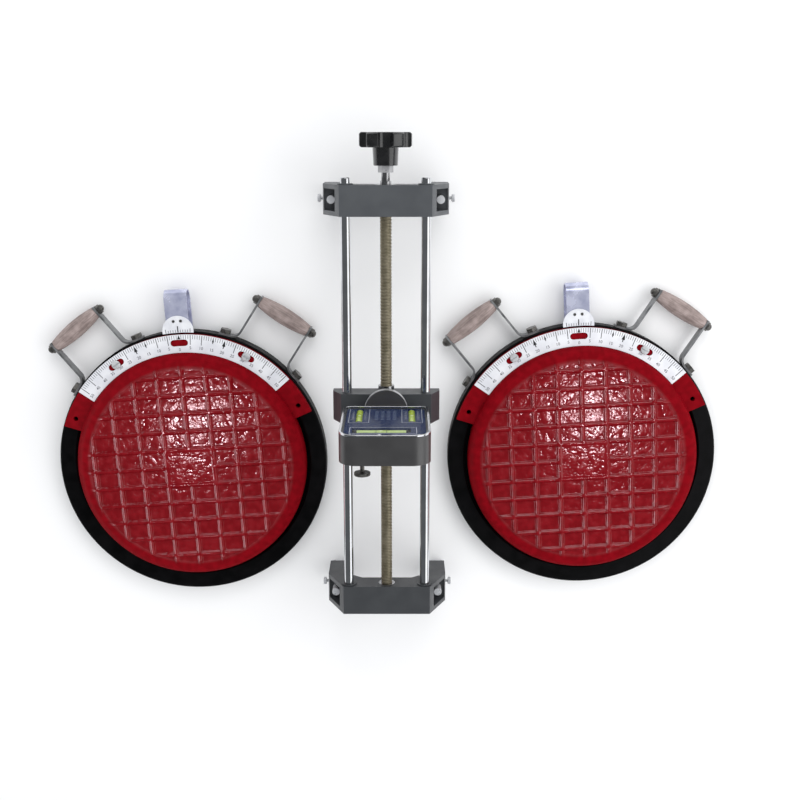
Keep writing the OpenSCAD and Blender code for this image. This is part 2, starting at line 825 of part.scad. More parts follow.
module end_bracket(end) {
  color("#4d5155") in_set() translate([0, end * open_half, 0]) difference() {
    plan_extrude(bracket_h) bracket_outline();
    for (s = SIDES) {
      translate([s * rod_half, -half_h - overcut, rod_z]) along_y()
        cylinder(d = bush_d + 2 * seat_fit, h = bracket_h + 2 * overcut);
      translate([s * claw_x, 0, wing_back_z - overcut])
        cylinder(d = claw_d + 2 * run_fit, h = wing_depth + 2 * overcut);
      translate([s * claw_x, 0, wing_back_z + thumb_z]) rotate([0, s * 90, 0])
        cylinder(d = thumb_d + 2 * run_fit, h = claw_inset + overcut);
      translate([s * (recess_low_x + recess_high_x) / 2, 0, front_z - slope_depth / 2])
        cube([recess_high_x - recess_low_x, recess_h, slope_depth], center = true);
    }
    translate([0, -half_h - overcut, screw_z]) along_y()
      cylinder(d = nut_d + 2 * seat_fit, h = bracket_h + 2 * overcut);
    on_pulled_face(end) translate([0, 0, -nut_flange_h])
      hex(nut_flange_w + 2 * seat_fit, nut_flange_h + overcut);
  }
}

// The outer face of an end bracket, around the lead screw, with +z pointing out of it.
module on_pulled_face(end) {
  translate([0, end * half_h, screw_z]) rotate([-end * 90, 0, 0]) children();
}

module bushes(end) {
  color("#5d6064") in_set() for (s = SIDES)
    translate([s * rod_half, end * open_half - half_h, rod_z]) along_y() {
      tube(bush_d, rod_d + 2 * run_fit, bracket_h);
      translate([0, 0, bracket_h]) tube(bush_flange_d, rod_d + 2 * run_fit, bush_flange_h);
    }
}

module lead_nut(end) {
  color("#8d8a80") in_set() translate([0, end * open_half, 0]) on_pulled_face(end) difference() {
    union() {
      translate([0, 0, -bracket_h]) cylinder(d = nut_d, h = bracket_h);
      translate([0, 0, -nut_flange_h]) hex(nut_flange_w, nut_flange_h);
    }
    translate([0, 0, -bracket_h - overcut]) cylinder(d = screw_d + 2 * run_fit, h = bracket_h + 2 * overcut);
  }
}

module guide_rods() {
  bevel = 1;
  color("#c9ccd0") in_set() for (s = SIDES) translate([s * rod_half, rod_low_y, rod_z]) along_y() {
    cylinder(d1 = rod_d - 2 * bevel, d2 = rod_d, h = bevel);
    translate([0, 0, bevel]) cylinder(d = rod_d, h = rod_top_y - rod_low_y - 2 * bevel);
    translate([0, 0, rod_top_y - rod_low_y - bevel]) cylinder(d1 = rod_d, d2 = rod_d - 2 * bevel, h = bevel);
  }
}

module middle_bracket() {
  slope = middle_half - front_half;
  color("#4d5155") in_set() difference() {
    plan_extrude(bracket_h) polygon([
      [-front_half, front_z], [front_half, front_z], [middle_half, front_z - 2 * slope],
      [middle_half, front_z - middle_depth], [-middle_half, front_z - middle_depth],
      [-middle_half, front_z - 2 * slope]
    ]);
    for (s = SIDES) translate([s * rod_half, -half_h - overcut, rod_z]) along_y()
      cylinder(d = rod_d + 2 * seat_fit, h = bracket_h + 2 * overcut);
    translate([0, -half_h - overcut, screw_z]) along_y()
      cylinder(d = screw_d + 2 * run_fit, h = bracket_h + 2 * overcut);
  }
}

// The spigot is turned on a round flange that sits on the middle bracket's front.
module hub_spigot() {
  flange_h = disc_z - front_z - slide_gap;
  color("#a9adb2") in_set() translate([0, 0, front_z]) {
    cylinder(d = spigot_d + 14, h = flange_h);
    cylinder(d = spigot_d, h = spigot_top_z - front_z);
  }
}

// Lead screw, collars, lock nut and knob turn together

module lead_screw() {
  color("#7c7457") in_set() translate([0, rod_low_y, screw_z]) along_y() {
    cylinder(d = screw_d, h = neck_y - rod_low_y);
    cylinder(d = neck_d, h = knob_y + knob_boss_h / 2 - rod_low_y);
  }
}

module screw_collars() {
  color("#9a9c9e") in_set() for (s = SIDES)
    translate([0, s * (half_h + slide_gap), screw_z]) rotate([-s * 90, 0, 0])
      tube(collar_d, screw_d + 2 * seat_fit, collar_h);
}

module lock_nut() {
  color("silver") in_set() translate([0, lock_nut_y, screw_z]) along_y() difference() {
    hex(lock_nut_w, lock_nut_h);
    translate([0, 0, -overcut]) cylinder(d = neck_d + 2 * seat_fit, h = lock_nut_h + 2 * overcut);
  }
}

module knob() {
  scallop_d = knob_d * 0.3;
  bevel = 2;
  color("#17181a") in_set() translate([0, knob_y, screw_z]) along_y() difference() {
    union() {
      cylinder(d1 = knob_boss_d - bevel, d2 = knob_boss_d, h = knob_boss_h);
      translate([0, 0, knob_boss_h]) cylinder(d1 = knob_d - 2 * bevel, d2 = knob_d, h = bevel);
      translate([0, 0, knob_boss_h + bevel]) cylinder(d = knob_d, h = knob_head_h - 2 * bevel);
      translate([0, 0, knob_boss_h + knob_head_h - bevel])
        cylinder(d1 = knob_d, d2 = knob_d - 2 * bevel, h = bevel);
    }
    for (i = [0 : knob_lobes - 1]) rotate((i + 0.5) * 360 / knob_lobes)
      translate([knob_d / 2 + scallop_d * 0.12, 0, knob_boss_h - overcut])
        cylinder(d = scallop_d, h = knob_head_h + 2 * overcut);
    translate([0, 0, -overcut])
      cylinder(d = neck_d + 2 * seat_fit, h = knob_boss_h / 2 + overcut + seat_fit);
  }
}

// Claws: a round shank through each wing, with a hook behind it that points to the hub

module claw(end, side) {
  lip = 2.5;
  shank_r = claw_d / 2;
  color("#b4b7ba") in_set() translate([side * claw_x, end * open_half, 0]) {
    translate([0, 0, hook_t - overcut]) cylinder(d = claw_d, h = claw_front_z - hook_t + overcut);
    scale_end(end) translate([-hook_w / 2, 0, 0]) rotate([90, 0, 90]) linear_extrude(hook_w)
      polygon([[-hook_reach, 0], [shank_r + 2, 0], [shank_r + 2, hook_t], [-shank_r - 2, hook_t],
               [-hook_reach, hook_t + lip], [-hook_reach - lip, hook_t]]);
  }
}

// Turns a hook drawn for the top bracket round for the bottom one.
module scale_end(end) {
  rotate(end == TOP ? 0 : 180) children();
}

module thumb_screw(end, side) {
  tip = claw_inset - claw_d / 2 - slide_gap;
  color("#c4c6c8") in_set() translate([side * wing_half, end * open_half, wing_back_z + thumb_z])
    rotate([0, side * 90, 0]) {
      translate([0, 0, -tip]) cylinder(d = thumb_d, h = tip + thumb_show + thumb_head_t / 2);
      translate([0, 0, thumb_show]) cylinder(d = thumb_head_d, h = thumb_head_t, $fn = 32);
    }
}

// Gauge: a housing with a panel of spirit vials, hung from the hub by its mounting disc

// The housing from above, inset from its outer faces.
module gauge_outline(inset) {
  w = gauge_w - 2 * inset;
  front_r = gauge_front_r - inset;
  back_r = max(gauge_back_r - inset, 1);
  low = gauge_back_z + inset;
  high = gauge_front_z - inset;
  translate([-w / 2, low + back_r]) square([w, high - low - back_r - front_r]);
  translate([-w / 2 + front_r, high - front_r - overcut]) square([w - 2 * front_r, front_r + overcut]);
  translate([-w / 2 + back_r, low]) square([w - 2 * back_r, back_r + overcut]);
  for (s = SIDES) {
    translate([s * (w / 2 - front_r), high - front_r]) circle(front_r);
    translate([s * (w / 2 - back_r), low + back_r]) circle(back_r);
  }
}

// A slab of the gauge between two heights.
module gauge_slab(low_y, high_y, inset) {
  translate([0, (low_y + high_y) / 2, 0]) plan_extrude(high_y - low_y) gauge_outline(inset);
}

module gauge_housing() {
  ear_t = 3;
  post_d = 6 + gauge_wall / 2;
  post_x = gauge_w / 2 - gauge_wall - 3;
  wall_top = gauge_top_y - bezel_h;
  floor_y = gauge_low_y + gauge_floor;
  color("#4a4a4c") in_set() difference() {
    union() {
      difference() {
        gauge_slab(gauge_low_y, wall_top, 0);
        gauge_slab(floor_y, wall_top + overcut, gauge_wall);
      }
      for (s = SIDES) translate([s * post_x, floor_y - overcut, gauge_back_z + gauge_depth / 2])
        along_y() cylinder(d = post_d, h = panel_y - panel_t - floor_y + overcut);
      for (s = SIDES) translate([cradle_pin_x - 4, floor_y - overcut,
                                 long_vial_z + s * (cradle_w / 2 + slide_gap + ear_t / 2) - ear_t / 2])
        cube([8, cradle_y + 4 - floor_y + overcut, ear_t]);
    }
    translate([cradle_pin_x, cradle_y, long_vial_z])
      cylinder(d = cradle_pin_d + 2 * run_fit, h = cradle_w + 4 * ear_t, center = true);
    translate([adjust_x, gauge_low_y - overcut, long_vial_z]) along_y()
      cylinder(d = adjust_d + 2 * run_fit, h = gauge_floor + 2 * overcut);
    for (s = SIDES) translate([s * disc_screw_half, -disc_screw_drop, gauge_back_z - overcut])
      cylinder(d = disc_screw_d + 2 * seat_fit, h = gauge_wall + 2 * overcut);
  }
}

module gauge_bezel() {
  color("#dfe2e6") in_set() difference() {
    gauge_slab(gauge_top_y - bezel_h, gauge_top_y, 0);
    gauge_slab(gauge_top_y - bezel_h - overcut, gauge_top_y + overcut, bezel_w);
  }
}

module gauge_window() {
  low = gauge_top_y - bezel_h;
  color("lightcyan", 0.35) in_set() gauge_slab(low, low + window_t, bezel_w + seat_fit);
}

module gauge_panel() {
  color("#1d2c58") in_set() difference() {
    gauge_slab(panel_y - panel_t, panel_y, gauge_wall + 2 * seat_fit);
    for (s = SIDES) vial_cut(s * short_vial_half, short_vial_z, short_slot_w, short_vial_l);
    vial_cut(long_vial_x, long_vial_z + long_window / 2, long_vial_l + 4, long_vial_d + 1 + long_window);
  }
}

// A window through the panel, centred at x and z.
module vial_cut(x, z, w, l) {
  translate([x - w / 2 - seat_fit, panel_y - 2 * panel_t, z - l / 2 - seat_fit])
    cube([w + 2 * seat_fit, 3 * panel_t, l + 2 * seat_fit]);
}

module short_vials() {
  color("#b6d230") in_set() for (s = SIDES)
    translate([s * short_vial_half, short_vial_y, short_vial_z - short_vial_l / 2])
      cylinder(d = short_vial_d, h = short_vial_l);
}

module long_vial() {
  color("#c6dc8a") in_set() translate([long_vial_x - long_vial_l / 2, long_vial_y, long_vial_z])
    rotate([0, 90, 0]) cylinder(d = long_vial_d, h = long_vial_l);
}

// The cradle turns on its pin at one end and rides on the adjusting screw at the other.
module vial_cradle() {
  pin_l = cradle_w + 6;
  bar_l = long_vial_l - 2;
  saddle_t = 5;
  low_y = cradle_y - cradle_t / 2;
  color("#b9b27a") in_set() difference() {
    union() {
      translate([long_vial_x - bar_l / 2, low_y, long_vial_z - cradle_w / 2])
        cube([bar_l, cradle_t, cradle_w]);
      for (s = SIDES) translate([long_vial_x + s * (bar_l - saddle_t) / 2 - saddle_t / 2, low_y,
                                 long_vial_z - cradle_w / 2])
        cube([saddle_t, long_vial_y - low_y, cradle_w]);
      translate([cradle_pin_x, cradle_y, long_vial_z - pin_l / 2]) cylinder(d = cradle_pin_d, h = pin_l);
    }
    translate([long_vial_x - long_vial_l, long_vial_y, long_vial_z]) rotate([0, 90, 0])
      cylinder(d = long_vial_d + 2 * seat_fit, h = 2 * long_vial_l);
    translate([adjust_x, cradle_y - cradle_t, long_vial_z]) along_y()
      cylinder(d = adjust_d + 2 * tilt_fit, h = cradle_t * 1.5);
  }
}

module adjusting_screw() {
  head_y = gauge_low_y - adjust_show - adjust_head_t;
  color("#6b6d6f") in_set() translate([adjust_x, head_y, long_vial_z]) along_y() {
    cylinder(d = adjust_head_d, h = adjust_head_t);
    cylinder(d = adjust_d, h = cradle_y - head_y);
    translate([0, 0, adjust_head_t + adjust_show + gauge_floor + slide_gap])
      tube(adjust_d * 1.8, adjust_d - overcut, 3);
  }
}

module mounting_disc() {
  color("#54545a") in_set() difference() {
    translate([0, 0, disc_z]) cylinder(d = disc_d, h = disc_t, $fn = 128);
    translate([0, 0, disc_z - overcut]) cylinder(d = spigot_d + 2 * run_fit, h = disc_t - 1 + overcut);
    for (s = SIDES) translate([s * disc_screw_half, -disc_screw_drop, disc_z - overcut])
      cylinder(d = disc_screw_d + 2 * seat_fit, h = disc_t + 2 * overcut);
  }
}

// Two screws from inside the housing hold its back to the disc.
module disc_screws() {
  color("silver") in_set() for (s = SIDES) translate([s * disc_screw_half, -disc_screw_drop, 0]) {
    translate([0, 0, disc_z + 1]) cylinder(d = disc_screw_d, h = disc_t + gauge_wall - 1);
    translate([0, 0, gauge_back_z + gauge_wall]) screw_head(disc_screw_d * 1.8, disc_screw_d * 0.6);
  }
}

// What is drawn

base(LEFT);  // left_base
ball_cage(LEFT);  // left_ball_cage
balls(LEFT);  // left_balls
top_plate(LEFT);  // left_top_plate
angle_scale(LEFT);  // left_angle_scale
scale_screws(LEFT);  // left_scale_screws
pointer_bracket(LEFT);  // left_pointer_bracket
vernier_plate(LEFT);  // left_vernier_plate
handle_straps(LEFT);  // left_handle_straps
grip(LEFT, LEFT);  // left_outer_grip
grip(LEFT, RIGHT);  // left_inner_grip
base(RIGHT);  // right_base
ball_cage(RIGHT);  // right_ball_cage
balls(RIGHT);  // right_balls
top_plate(RIGHT);  // right_top_plate
angle_scale(RIGHT);  // right_angle_scale
scale_screws(RIGHT);  // right_scale_screws
pointer_bracket(RIGHT);  // right_pointer_bracket
vernier_plate(RIGHT);  // right_vernier_plate
handle_straps(RIGHT);  // right_handle_straps
grip(RIGHT, RIGHT);  // right_outer_grip
grip(RIGHT, LEFT);  // right_inner_grip
pivot_bolts();
rim_bolts();
pointer_screws();
vernier_rivets();
grip_bolts();
grip_nuts();
guide_rods();
middle_bracket();
hub_spigot();
end_bracket(TOP);  // top_bracket
bushes(TOP);  // top_bushes
lead_nut(TOP);  // top_nut
end_bracket(BOTTOM);  // bottom_bracket
bushes(BOTTOM);  // bottom_bushes
lead_nut(BOTTOM);  // bottom_nut
lead_screw();
screw_collars();
knob();
lock_nut();
claw(TOP, LEFT);  // top_left_claw
claw(TOP, RIGHT);  // top_right_claw
claw(BOTTOM, LEFT);  // bottom_left_claw
claw(BOTTOM, RIGHT);  // bottom_right_claw
thumb_screw(TOP, LEFT);  // top_left_thumb_screw
thumb_screw(TOP, RIGHT);  // top_right_thumb_screw
thumb_screw(BOTTOM, LEFT);  // bottom_left_thumb_screw
thumb_screw(BOTTOM, RIGHT);  // bottom_right_thumb_screw
mounting_disc();
disc_screws();
gauge_housing();
gauge_panel();
gauge_window();
gauge_bezel();
short_vials();
long_vial();
vial_cradle();
adjusting_screw();
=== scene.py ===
# Wheel alignment set: two turn plates with angle scales, and between them a wheel clamp that
# carries a spirit level gauge. The set lies on a pale floor and is seen from above.
import json
import math

import bpy
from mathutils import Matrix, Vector

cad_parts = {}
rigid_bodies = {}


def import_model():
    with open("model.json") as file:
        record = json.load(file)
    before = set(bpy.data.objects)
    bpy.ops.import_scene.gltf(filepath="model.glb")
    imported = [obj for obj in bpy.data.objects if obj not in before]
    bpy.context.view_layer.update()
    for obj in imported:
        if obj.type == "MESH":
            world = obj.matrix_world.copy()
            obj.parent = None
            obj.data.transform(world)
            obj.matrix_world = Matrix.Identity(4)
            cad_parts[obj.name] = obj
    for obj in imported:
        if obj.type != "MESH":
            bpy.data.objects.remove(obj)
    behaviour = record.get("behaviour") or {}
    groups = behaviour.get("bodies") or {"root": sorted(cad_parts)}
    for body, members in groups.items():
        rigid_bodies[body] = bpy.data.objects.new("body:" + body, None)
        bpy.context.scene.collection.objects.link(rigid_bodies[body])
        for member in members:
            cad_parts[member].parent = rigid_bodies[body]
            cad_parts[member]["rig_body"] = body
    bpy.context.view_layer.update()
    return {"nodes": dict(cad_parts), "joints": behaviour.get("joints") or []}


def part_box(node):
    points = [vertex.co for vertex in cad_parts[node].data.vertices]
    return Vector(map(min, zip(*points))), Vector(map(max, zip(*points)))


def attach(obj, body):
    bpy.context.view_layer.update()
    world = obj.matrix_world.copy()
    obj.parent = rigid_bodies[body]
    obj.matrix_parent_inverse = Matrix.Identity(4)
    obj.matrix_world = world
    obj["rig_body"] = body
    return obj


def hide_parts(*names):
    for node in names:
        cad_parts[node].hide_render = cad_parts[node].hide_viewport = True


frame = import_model()

# Turn plate bases
# Each base is a round cast dish with a ledge, dipped in blue-black paint that has gone satin.
# The handles, the pointer and the pivot of the red plate are bolted to it.
MM = 0.001
SIDES = ("left", "right")


def pick_only(piece):
    """Makes a piece the active one, and the only one selected."""
    bpy.ops.object.select_all(action="DESELECT")
    piece.select_set(True)
    bpy.context.view_layer.objects.active = piece


def coat_with(piece, material):
    """Gives a piece one material in place of those it has."""
    piece.data.materials.clear()
    piece.data.materials.append(material)


def merged_copy(node):
    """A copy of a node, with its triangles merged into whole faces."""
    piece = bpy.data.objects.new(node + "_finished", frame["nodes"][node].data.copy())
    bpy.context.scene.collection.objects.link(piece)
    pick_only(piece)
    bpy.ops.mesh.customdata_custom_splitnormals_clear()
    bpy.ops.object.mode_set(mode="EDIT")
    bpy.ops.mesh.select_all(action="SELECT")
    bpy.ops.mesh.remove_doubles(threshold=0.002 * MM)
    bpy.ops.mesh.dissolve_limited(angle_limit=math.radians(0.3))
    bpy.ops.object.mode_set(mode="OBJECT")
    return piece


def soften(piece, width, steps, sharp=30):
    """Rounds the active piece's edges that turn by more than an angle in degrees."""
    bevel = piece.modifiers.new("edge", "BEVEL")
    bevel.width = width
    bevel.segments = steps
    bevel.limit_method = "ANGLE"
    bevel.angle_limit = math.radians(sharp)
    bpy.ops.object.modifier_apply(modifier=bevel.name)


def rounded(node, edge, material, steps=2, piece=None):
    """A node's copy with its sharp edges rounded to a radius in mm, shown in the node's place."""
    sharp = 35
    piece = piece or merged_copy(node)
    pick_only(piece)
    soften(piece, edge * MM, steps, sharp)
    bpy.ops.object.mode_set(mode="EDIT")
    bpy.ops.mesh.select_all(action="SELECT")
    bpy.ops.mesh.remove_doubles(threshold=0.003 * MM)
    bpy.ops.object.mode_set(mode="OBJECT")
    bpy.ops.object.shade_smooth_by_angle(angle=math.radians(sharp))
    flat_faces = piece.modifiers.new("flat_faces", "WEIGHTED_NORMAL")
    flat_faces.keep_sharp = True
    bpy.ops.object.modifier_apply(modifier=flat_faces.name)
    coat_with(piece, material)
    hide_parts(node)
    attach(piece, frame["nodes"][node]["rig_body"])
    return piece


def skin_group():
    """Fine and coarse unevenness of a surface, as a mottle from 0 to 1 and a normal."""
    group = bpy.data.node_groups.new("skin", "ShaderNodeTree")
    group.interface.new_socket("Vector", in_out="INPUT", socket_type="NodeSocketVector")
    for name in ("Fine Scale", "Coarse Scale", "Detail", "Relief"):
        group.interface.new_socket(name, in_out="INPUT", socket_type="NodeSocketFloat")
    group.interface.new_socket("Mottle", in_out="OUTPUT", socket_type="NodeSocketFloat")
    group.interface.new_socket("Normal", in_out="OUTPUT", socket_type="NodeSocketVector")
    entry = group.nodes.new("NodeGroupInput")
    leave = group.nodes.new("NodeGroupOutput")
    fine = group.nodes.new("ShaderNodeTexNoise")
    coarse = group.nodes.new("ShaderNodeTexNoise")
    both = group.nodes.new("ShaderNodeMath")
    bump = group.nodes.new("ShaderNodeBump")
    both.operation = "MULTIPLY_ADD"
    both.inputs[1].default_value = 0.5
    bump.inputs["Distance"].default_value = 1 * MM
    for noise, scale in ((fine, "Fine Scale"), (coarse, "Coarse Scale")):
        group.links.new(entry.outputs["Vector"], noise.inputs["Vector"])
        group.links.new(entry.outputs["Detail"], noise.inputs["Detail"])
        group.links.new(entry.outputs[scale], noise.inputs["Scale"])
    group.links.new(fine.outputs["Fac"], both.inputs[0])
    group.links.new(coarse.outputs["Fac"], both.inputs[2])
    group.links.new(both.outputs["Value"], bump.inputs["Height"])
    group.links.new(entry.outputs["Relief"], bump.inputs["Strength"])
    group.links.new(coarse.outputs["Fac"], leave.inputs["Mottle"])
    group.links.new(bump.outputs["Normal"], leave.inputs["Normal"])
    return group


skin = skin_group()


def surface(name, dark, light, rough, fine, coarse, relief,
            metallic=0.0, coat=0.0, specular=0.5, detail=3):
    """A material whose colour and roughness drift between two values with its unevenness."""
    material = bpy.data.materials.new(name)
    material.use_nodes = True
    nodes, links = material.node_tree.nodes, material.node_tree.links
    shader = nodes["Principled BSDF"]
    shader.inputs["Metallic"].default_value = metallic
    shader.inputs["Specular IOR Level"].default_value = specular
    shader.inputs["Coat Weight"].default_value = coat
    shader.inputs["Coat Roughness"].default_value = 0.12
    place = nodes.new("ShaderNodeTexCoord")
    uneven = nodes.new("ShaderNodeGroup")
    uneven.node_tree = skin
    uneven.inputs["Fine Scale"].default_value = fine
    uneven.inputs["Coarse Scale"].default_value = coarse
    uneven.inputs["Detail"].default_value = detail
    uneven.inputs["Relief"].default_value = relief
    spread = (0.35, 0.65)
    colour = nodes.new("ShaderNodeValToRGB")
    colour.color_ramp.elements[0].position = spread[0]
    colour.color_ramp.elements[1].position = spread[1]
    colour.color_ramp.elements[0].color = (*dark, 1)
    colour.color_ramp.elements[1].color = (*light, 1)
    gloss = nodes.new("ShaderNodeMapRange")
    gloss.inputs["From Min"].default_value = spread[0]
    gloss.inputs["From Max"].default_value = spread[1]
    gloss.inputs["To Min"].default_value = rough[0]
    gloss.inputs["To Max"].default_value = rough[1]
    links.new(place.outputs["Object"], uneven.inputs["Vector"])
    links.new(uneven.outputs["Mottle"], colour.inputs["Fac"])
    links.new(uneven.outputs["Mottle"], gloss.inputs["Value"])
    links.new(colour.outputs["Color"], shader.inputs["Base Color"])
    links.new(gloss.outputs["Result"], shader.inputs["Roughness"])
    links.new(uneven.outputs["Normal"], shader.inputs["Normal"])
    return material


black_paint = surface("black_paint", (0.001, 0.001, 0.0014), (0.003, 0.0027, 0.0036), (0.42, 0.55),
                      fine=900, coarse=70, relief=0.15, specular=0.16)
for side in SIDES:
    rounded(side + "_base", 0.8, black_paint)

# Pivot bolts and ball bearings
# Hidden under the red plates: a pivot bolt let into the base's floor, a stamped brass cage and
# polished balls that roll between the base and the plate.
dark_steel = surface("dark_steel", (0.11, 0.106, 0.1), (0.17, 0.164, 0.153), (0.25, 0.38),
                     fine=2200, coarse=260, relief=0.05, metallic=0.75)
polished_steel = surface("polished_steel", (0.62, 0.63, 0.65), (0.74, 0.75, 0.77), (0.06, 0.12),
                         fine=1500, coarse=200, relief=0.02, metallic=1.0)
cage_brass = surface("cage_brass", (0.42, 0.29, 0.1), (0.62, 0.46, 0.19), (0.25, 0.45),
                     fine=1200, coarse=140, relief=0.1, metallic=1.0)
rounded("pivot_bolts", 0.6, dark_steel)
for side in SIDES:
    coat_with(frame["nodes"][side + "_ball_cage"], cage_brass)
    coat_with(frame["nodes"][side + "_balls"], polished_steel)

# Top plates
# Iron castings with a waffle of ribs to grip the tyre, a bare pad in the middle and a flange
# that carries the scale. The gloss red paint follows the casting's grain, which is coarse in the
# waffle and finer on the shoulder, where the paint is also duller.
WAFFLE_RADIUS = 136 * MM
WAFFLE_LIFT = 0.03 * MM
RIB_PITCH_X = 31 * MM
RIB_PITCH_Y = 24 * MM
RIB_HEIGHT = 3 * MM
RIB_FOOT = 3.6 * MM
RIB_FLAT = 0.5 * MM
SKIN_BORDER = WAFFLE_RADIUS + 2.5 * MM
GLOSS_FADE = (WAFFLE_RADIUS - 8 * MM, WAFFLE_RADIUS - 1 * MM)
PAD_SHARE = 0.75
PLATE_TURN = math.radians(3.5)
pivot = {j["name"]: Vector(j["pos_m"]) for j in frame["joints"] if "pos_m" in j}


def red_paint(side):
    """Red gloss paint with more grain and shine inside the waffle's circle than outside it."""
    material = surface(side + "_red_paint", (0.165, 0.0013, 0.0045), (0.205, 0.0018, 0.006),
                       (0.07, 0.14), fine=330, coarse=130, relief=0.32, detail=0.5)
    nodes, links = material.node_tree.nodes, material.node_tree.links
    shader = nodes["Principled BSDF"]
    centre = pivot[side + "_plate_turn"]
    across = nodes.new("ShaderNodeVectorMath")
    across.operation = "MULTIPLY_ADD"
    across.inputs[1].default_value = (1, 1, 0)
    across.inputs[2].default_value = (-centre.x, -centre.y, 0)
    reach = nodes.new("ShaderNodeVectorMath")
    reach.operation = "LENGTH"
    links.new(nodes["Texture Coordinate"].outputs["Object"], across.inputs[0])
    links.new(across.outputs["Vector"], reach.inputs[0])
    duller = nodes.new("ShaderNodeMath")
    links.new(nodes["Map Range"].outputs["Result"], duller.inputs[0])
    links.new(duller.outputs["Value"], shader.inputs["Roughness"])
    varied = (
        (nodes["Group"].inputs["Relief"], 0.32, 0.06),
        (duller.inputs[1], 0, 0.4),
        (shader.inputs["Specular IOR Level"], 0.5, 0.02),
    )
    for socket, inside, outside in varied:
        change = nodes.new("ShaderNodeMapRange")
        change.inputs["From Min"].default_value = GLOSS_FADE[0]
        change.inputs["From Max"].default_value = GLOSS_FADE[1]
        change.inputs["To Min"].default_value = inside
        change.inputs["To Max"].default_value = outside
        links.new(reach.outputs["Value"], change.inputs["Value"])
        links.new(change.outputs["Result"], socket)
    return material


def joined(pieces, name):
    """Several pieces as one, under a new name."""
    bpy.ops.object.select_all(action="DESELECT")
    for piece in pieces:
        piece.select_set(True)
    bpy.context.view_layer.objects.active = pieces[0]
    if len(pieces) > 1:
        bpy.ops.object.join()
    bpy.ops.object.transform_apply(location=True, rotation=True, scale=True)
    pieces[0].name = name
    return pieces[0]


def rise(distance, foot, flat):
    """A climb from 0 at the foot, with a small fillet, to 1 at the flat, with a wide rounding."""
    share = min(max((foot - distance) / (foot - flat), 0), 1)
    return math.sin(math.pi / 2 * share) ** 1.3


def cut_lines(pitch):
    """Where the waffle's mesh is cut in one direction: closely over ribs, wider between them."""
    count = int((WAFFLE_RADIUS - RIB_FOOT) / pitch)
    steps = (0.14, 0.35, 0.55, 0.75, 0.9, 1, 1.1)
    lines = []
    for rib in range(-count, count + 1):
        middle = rib * pitch
        if lines:
            gap = middle - steps[-1] * RIB_FOOT - lines[-1]
            lines += [lines[-1] + gap * share for share in (0.25, 0.5, 0.75)]
        lines += [middle - step * RIB_FOOT for step in reversed(steps)]
        lines += [middle + step * RIB_FOOT for step in steps]
    border = [lines[-1] + step * 4 * MM for step in range(1, 5)]
    return [-line for line in reversed(border)] + lines + border


def rib_share(place, pitch, in_pad):
    """How much of a rib's height stands at a distance across the ribs of one direction."""
    nearest = round(place / pitch)
    if in_pad and nearest == 0:
        nearest = 1 if place > 0 else -1
    return rise(abs(place - nearest * pitch), RIB_FOOT, RIB_FLAT)


def unpick_mesh():
    """Leaves nothing selected in the active piece's mesh."""
    bpy.ops.object.mode_set(mode="EDIT")
    bpy.ops.mesh.select_all(action="DESELECT")
    bpy.ops.object.mode_set(mode="OBJECT")


def waffle(centre, floor_z):
    """The ribs and the pad with their soft cast edges, as one skin over the plate's top."""
    columns, rows = cut_lines(RIB_PITCH_X), cut_lines(RIB_PITCH_Y)
    bpy.ops.mesh.primitive_grid_add(x_subdivisions=len(columns) - 1,
                                    y_subdivisions=len(rows) - 1, size=1)
    skin_piece = bpy.context.object
    for vertex in skin_piece.data.vertices:
        column = round((vertex.co.x + 0.5) * (len(columns) - 1))
        row = round((vertex.co.y + 0.5) * (len(rows) - 1))
        vertex.co = (columns[column], rows[row], 0)
    unpick_mesh()
    points = skin_piece.data.vertices
    for face in skin_piece.data.polygons:
        face.select = all(points[i].co.length > SKIN_BORDER for i in face.vertices)
    bpy.ops.object.mode_set(mode="EDIT")
    bpy.ops.mesh.delete(type="FACE")
    bpy.ops.object.mode_set(mode="OBJECT")
    for vertex in skin_piece.data.vertices:
        reach = vertex.co.length
        if reach > SKIN_BORDER:
            vertex.co *= SKIN_BORDER / reach
        in_pad = abs(vertex.co.x) < RIB_PITCH_X and abs(vertex.co.y) < RIB_PITCH_Y
        along_x = rib_share(vertex.co.x, RIB_PITCH_X, in_pad)
        along_y = rib_share(vertex.co.y, RIB_PITCH_Y, in_pad)
        height = 1 - (1 - along_x) * (1 - along_y)
        if in_pad:
            height = PAD_SHARE + (1 - PAD_SHARE) * height
        fade = rise(reach, WAFFLE_RADIUS - 1 * MM, WAFFLE_RADIUS - 5 * MM)
        vertex.co.z = RIB_HEIGHT * height * fade
    pick_only(skin_piece)
    bpy.ops.object.mode_set(mode="EDIT")
    bpy.ops.mesh.select_all(action="DESELECT")
    bpy.ops.mesh.select_non_manifold()
    bpy.ops.mesh.extrude_region_move(TRANSFORM_OT_translate={"value": (0, 0, -10 * WAFFLE_LIFT)})
    bpy.ops.mesh.select_all(action="SELECT")
    bpy.ops.mesh.fill_holes(sides=0)
    bpy.ops.mesh.normals_make_consistent(inside=False)
    bpy.ops.object.mode_set(mode="OBJECT")
    skin_piece.location = (centre.x, centre.y, floor_z + WAFFLE_LIFT)
    skin_piece.rotation_euler = (0, 0, PLATE_TURN)
    bpy.ops.object.shade_smooth_by_angle(angle=math.radians(60))
    return skin_piece


